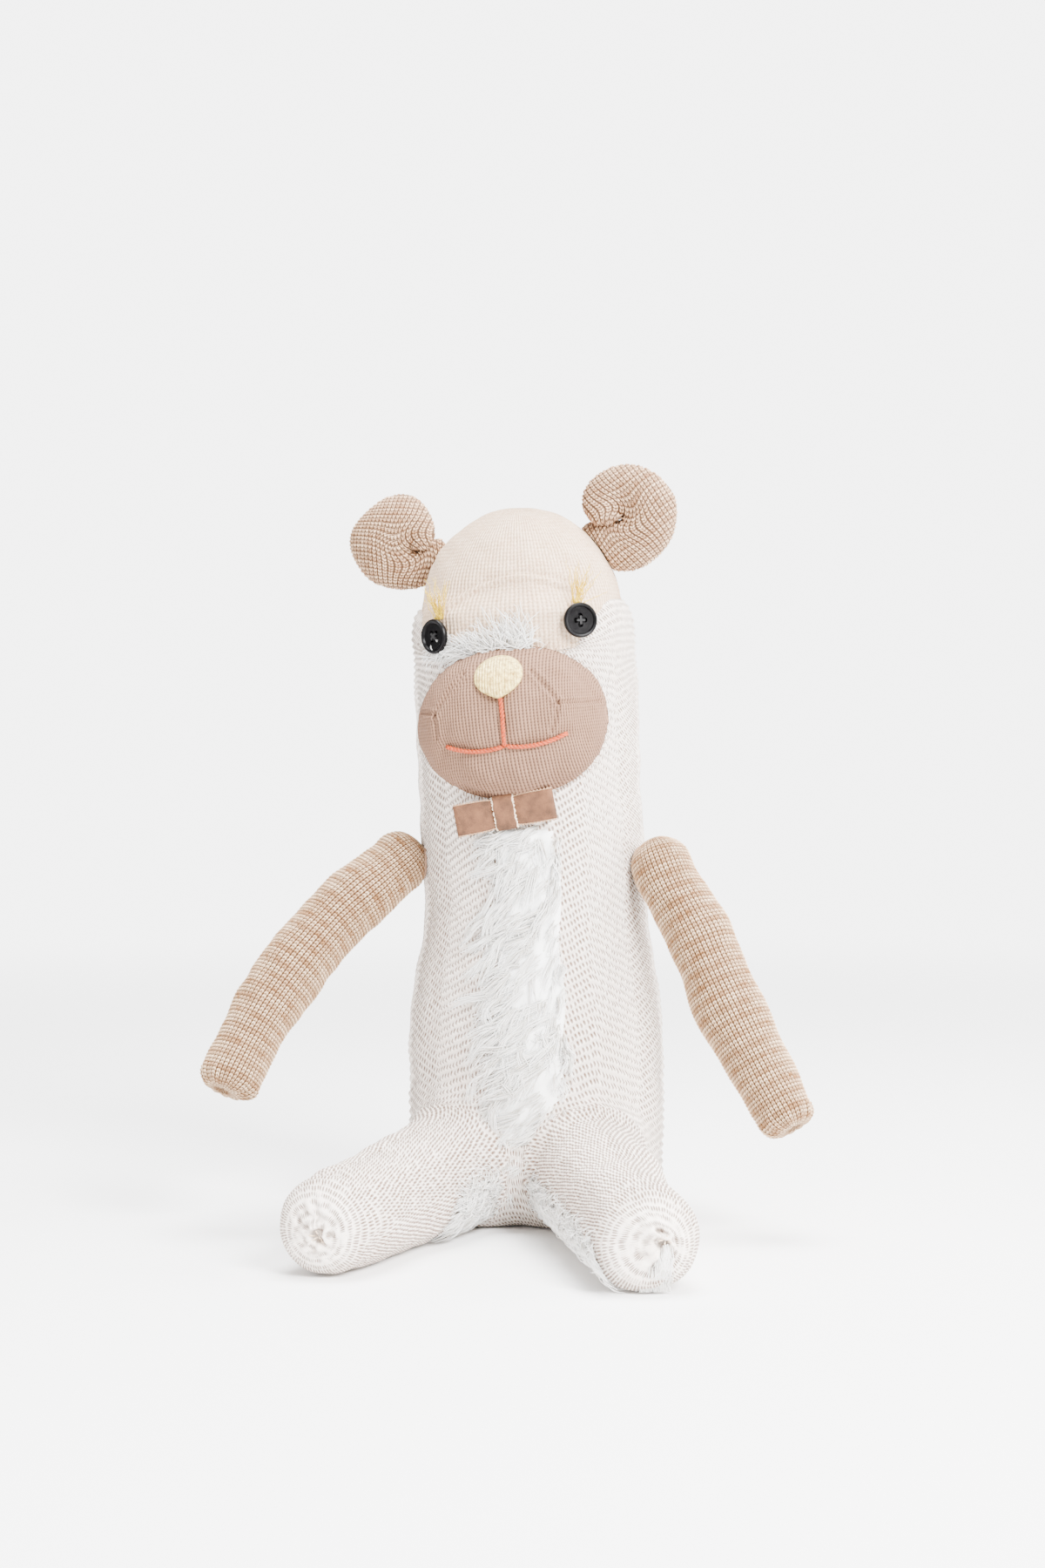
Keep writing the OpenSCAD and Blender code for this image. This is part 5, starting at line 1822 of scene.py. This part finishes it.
    def forehead(self) -> bpy.types.Object:
        """Build the tuft between eyes and muzzle.

        Returns:
            The strands.
        """
        rng = np.random.default_rng(75)
        n = 460
        turn = np.radians(rng.uniform(-38, 13, n))
        z = rng.uniform(244, 251, n)
        right = smooth((np.degrees(turn) + 16) / 14)
        long = rng.uniform(6, 13, n) * (1 + 0.6 * right)
        t = np.linspace(0, 1, 9)[None]
        stray = rng.normal(0, 1, (3, n))[:, :, None]
        lock = np.sin(turn * 22 + 1)[:, None]
        aim = np.radians(rng.normal(-44, 26, n) + 44 * right)[:, None] + 0.5 * lock
        across = np.sin(aim) * long[:, None] * t - 2.0 * t ** 2 + 0.7 * t * np.sin(7 * t + 3 * stray[2])
        rise = np.cos(aim) * long[:, None] * t - 3.5 * t ** 2 + 0.6 * t * np.cos(8 * t + 3 * stray[0])
        off = 1.0 + (2.6 + 1.0 * stray[1]) * np.sin(np.clip(t * 1.1, 0, 1) * math.pi * 0.8)
        r = self.form.chest_r + np.maximum(off, 0.9)
        angle = turn[:, None] + across / 50
        height = z[:, None] + rise
        points = np.stack([r * np.sin(angle), -r * np.cos(angle), height], -1)
        piece = hairs("forehead_pile", self.form.lean(points, True), 0.26, self.finishes.pile,
                      unit(points * [1, 1, 0]))
        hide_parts("forehead_fur")
        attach(piece, "head")
        return piece

    def leg(self, side: int) -> bpy.types.Object:
        """Build the pile along the inner side of a leg, laid towards the foot.

        Roots are spread along the axis and round it; each strand follows the cone.

        Args:
            side: -1 left, 1 right.

        Returns:
            The strands.
        """
        f = self.form
        rng = np.random.default_rng(78 + side)
        n = 950 if side < 0 else 1300
        start, heading, length = f.leg_axis(side)
        across, top = limb_frame(heading)
        reach = 44 if side < 0 else length + 4
        s = 2 + (reach - 2) * rng.uniform(0, 1, n)
        inner = side * (math.radians(108) + rng.normal(0, 0.2, n))
        t = np.linspace(0, 1, 7)[None]
        stray = rng.normal(0, 1, (3, n))[:, :, None]
        long = rng.uniform(8, 18, n)[:, None]
        down = s[:, None] + long * t * 0.75
        sway = 0.3 * stray[0] + 0.25 * np.sin(s[:, None] * 0.6) + 0.2
        around = inner[:, None] + side * sway * t * long / 22
        off = 0.5 + np.maximum(1.9 + 0.7 * stray[1], 0.3) * np.sin(np.clip(t * 1.1, 0, 1) * math.pi * 0.85)
        taper = f.hip_r + (f.foot_r - f.hip_r) * np.clip(down / length, 0, 1)
        r = taper + off
        paths = (start + down[..., None] * heading + (r * np.cos(around))[..., None] * top
                 + (r * np.sin(around))[..., None] * across)
        if side > 0:
            low = rng.uniform(1, 17, 420)[:, None]
            aside = (-6.5 + 4.0 * low / 17 + rng.normal(0, 1, 420)[:, None] * (0.6 + 0.16 * low))
            fall = low + rng.uniform(4, 9, 420)[:, None] * t
            lift = 15.2 - 6.5 * smooth((fall - 10) / 9) + 1.8 * np.sin(t * math.pi * 0.9)
            aside = aside + 0.5 * t * np.sin(7 * t + rng.uniform(0, 6, 420)[:, None])
            toe = (start + heading * (length + lift[..., None]) + top * (2 - fall[..., None])
                   + across * aside[..., None])
            paths = np.concatenate([paths, toe])
        paths[..., 2] = np.maximum(paths[..., 2], 0.6)
        name = side_name(side)
        away = paths - start
        away = away - (away @ heading)[..., None] * heading * 0.93
        piece = hairs(f"{name}_leg_pile", paths, 0.25, self.finishes.pile, unit(away))
        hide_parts(f"{name}_leg_fur")
        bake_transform(piece)
        return piece

    def build(self) -> list[bpy.types.Object]:
        """Build every strip."""
        return [*self.chest(), self.forehead(), self.leg(-1), self.leg(1)]


# ---- carried-over nodes, stage and camera ----

@dataclass
class Carried:
    """CAD nodes whose shape is right, given their real finish."""
    nodes: dict
    finishes: Finishes

    def build(self) -> list[bpy.types.Object]:
        """Dress buttons, shanks, fibre wads and tacking stitches.

        Returns:
            The dressed nodes.
        """
        f = self.finishes
        dress = {"eye_button": f.plastic, "eye_thread": f.black, "shoulder_wad": f.filling,
                 "shoulder_stitches": f.tacking, "bow_stitch": f.tacking}
        done = []
        for name, piece in self.nodes.items():
            for ending, shader in dress.items():
                if name.endswith(ending):
                    piece.data.materials.clear()
                    piece.data.materials.append(shader)
                    done.append(piece)
        return done


@dataclass
class Studio:
    """Pale sweep, soft light from the right front, and the camera."""
    distance: float = 1400.0
    height: float = 233.0
    azimuth: float = 9.0
    pitch: float = 1.8
    sideways: float = -6.0
    lens_mm: float = 72.8
    sky_seen: float = 5.72
    sky_light: float = 0.9
    sky_gloss: float = 0.4

    def camera(self) -> None:
        """Stand the camera a distance from the toy at its height, tipped down by its pitch."""
        a = math.radians(self.azimuth)
        right = np.array([math.cos(a), math.sin(a), 0])
        place = self.distance * np.array([math.sin(a), -math.cos(a), 0]) + self.sideways * right
        lens = bpy.data.cameras.new("camera")
        lens.lens = self.lens_mm
        lens.clip_start, lens.clip_end = 0.05, 50
        eye = bpy.data.objects.new("camera", lens)
        eye.location = (place[0] * MM, place[1] * MM, self.height * MM)
        eye.rotation_euler = (math.radians(90 - self.pitch), 0, a)
        bpy.context.scene.collection.objects.link(eye)
        bpy.context.scene.camera = eye

    def lamp(self, name: str, place: tuple[float, float, float], size: float, power: float) -> None:
        """A square soft box that faces the toy's chest.

        Args:
            name: Name of the lamp.
            place: Place in metres.
            size: Side in metres.
            power: Power in watts.
        """
        light = bpy.data.lights.new(name, "AREA")
        light.energy, light.size = power, size
        lamp = bpy.data.objects.new(name, light)
        lamp.location = place
        aim = unit(np.array([0.0, -0.03, 0.15]) - np.array(place))
        lamp.rotation_euler = (math.acos(-aim[2]), 0, math.atan2(aim[1], aim[0]) - math.pi / 2)
        bpy.context.scene.collection.objects.link(lamp)

    def floor(self) -> bpy.types.Object:
        """Round pale floor that thins out to nothing far away, so no edge shows.

        Returns:
            The floor.
        """
        shader, tree, surface = blank("painted_sweep")
        place = add(tree, "ShaderNodeTexCoord").outputs["Object"]
        far = add(tree, "ShaderNodeVectorMath", {"operation": "LENGTH"}, {0: place}).outputs["Value"]
        fade = add(tree, "ShaderNodeMapRange", {"interpolation_type": "SMOOTHSTEP"},
                   {0: far, 1: 0.55, 2: 1.6, 3: 1.0, 4: 0.0}).outputs[0]
        tree.links.new(fade, surface.inputs["Alpha"])
        surface.inputs["Base Color"].default_value = (0.93, 0.93, 0.93, 1)
        surface.inputs["Roughness"].default_value = 0.9
        surface.inputs["Specular IOR Level"].default_value = 0.1
        a = np.linspace(0, 2 * math.pi, 64, endpoint=False)
        rim = np.stack([1800 * np.cos(a), 1800 * np.sin(a), 0 * a], -1)
        points = np.concatenate([rim, [[0, 0, 0.0]]])
        k = np.arange(64)
        mesh = bpy.data.meshes.new("floor")
        mesh.from_pydata((points * MM).tolist(), [], np.stack([k, (k + 1) % 64, 0 * k + 64], -1).tolist())
        mesh.materials.append(shader)
        sweep = bpy.data.objects.new("floor", mesh)
        sweep.location = (0, 0, -0.0004)
        bpy.context.scene.collection.objects.link(sweep)
        return sweep

    def world(self) -> None:
        """Even pale surroundings, brighter to the eye than as a light."""
        world = bpy.data.worlds.new("surround")
        bpy.context.scene.world = world
        world.use_nodes = True
        tree = world.node_tree
        tree.nodes.clear()
        seen = add(tree, "ShaderNodeLightPath").outputs["Is Camera Ray"]
        sharp = add(tree, "ShaderNodeLightPath").outputs["Is Glossy Ray"]
        body = add(tree, "ShaderNodeMapRange", None,
                   {0: sharp, 3: self.sky_light, 4: self.sky_gloss}).outputs[0]
        bright = add(tree, "ShaderNodeMapRange", None, {0: seen, 3: body, 4: self.sky_seen}).outputs[0]
        glow = add(tree, "ShaderNodeBackground", None, {"Color": (1, 1, 1, 1), "Strength": bright})
        add(tree, "ShaderNodeOutputWorld", None, {"Surface": glow.outputs[0]})

    def build(self) -> list[bpy.types.Object]:
        """Set up camera, surroundings, lamps and floor."""
        self.camera()
        self.world()
        self.lamp("key", (1.1, -1.3, 1.25), 0.75, 178)
        self.lamp("side", (1.5, 0.1, 0.6), 1.0, 54)
        self.lamp("fill", (-1.3, -1.4, 0.7), 1.4, 30)
        self.lamp("top", (0.1, 0.1, 1.9), 1.1, 136)
        return [self.floor()]


def main() -> None:
    """Load the frame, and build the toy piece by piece."""
    logging.basicConfig(level=logging.INFO, format="%(name)s %(message)s")
    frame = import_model()
    finishes, form = Finishes(), BodyForm()
    parts = [Studio(), Carried(frame["nodes"], finishes), Body(form, finishes), Face(form, finishes),
             *(Leg(form, finishes, side) for side in (-1, 1)),
             *(Arm(form, finishes, side) for side in (-1, 1)),
             *(Ear(form, finishes, side) for side in (-1, 1)),
             Bow(form, finishes), Pile(form, finishes)]
    for part in parts:
        for piece in part.build():
            LOG.info("%s: %s, %d faces", type(part).__name__, piece.name, len(piece.data.polygons))


if __name__ == "__main__":
    main()
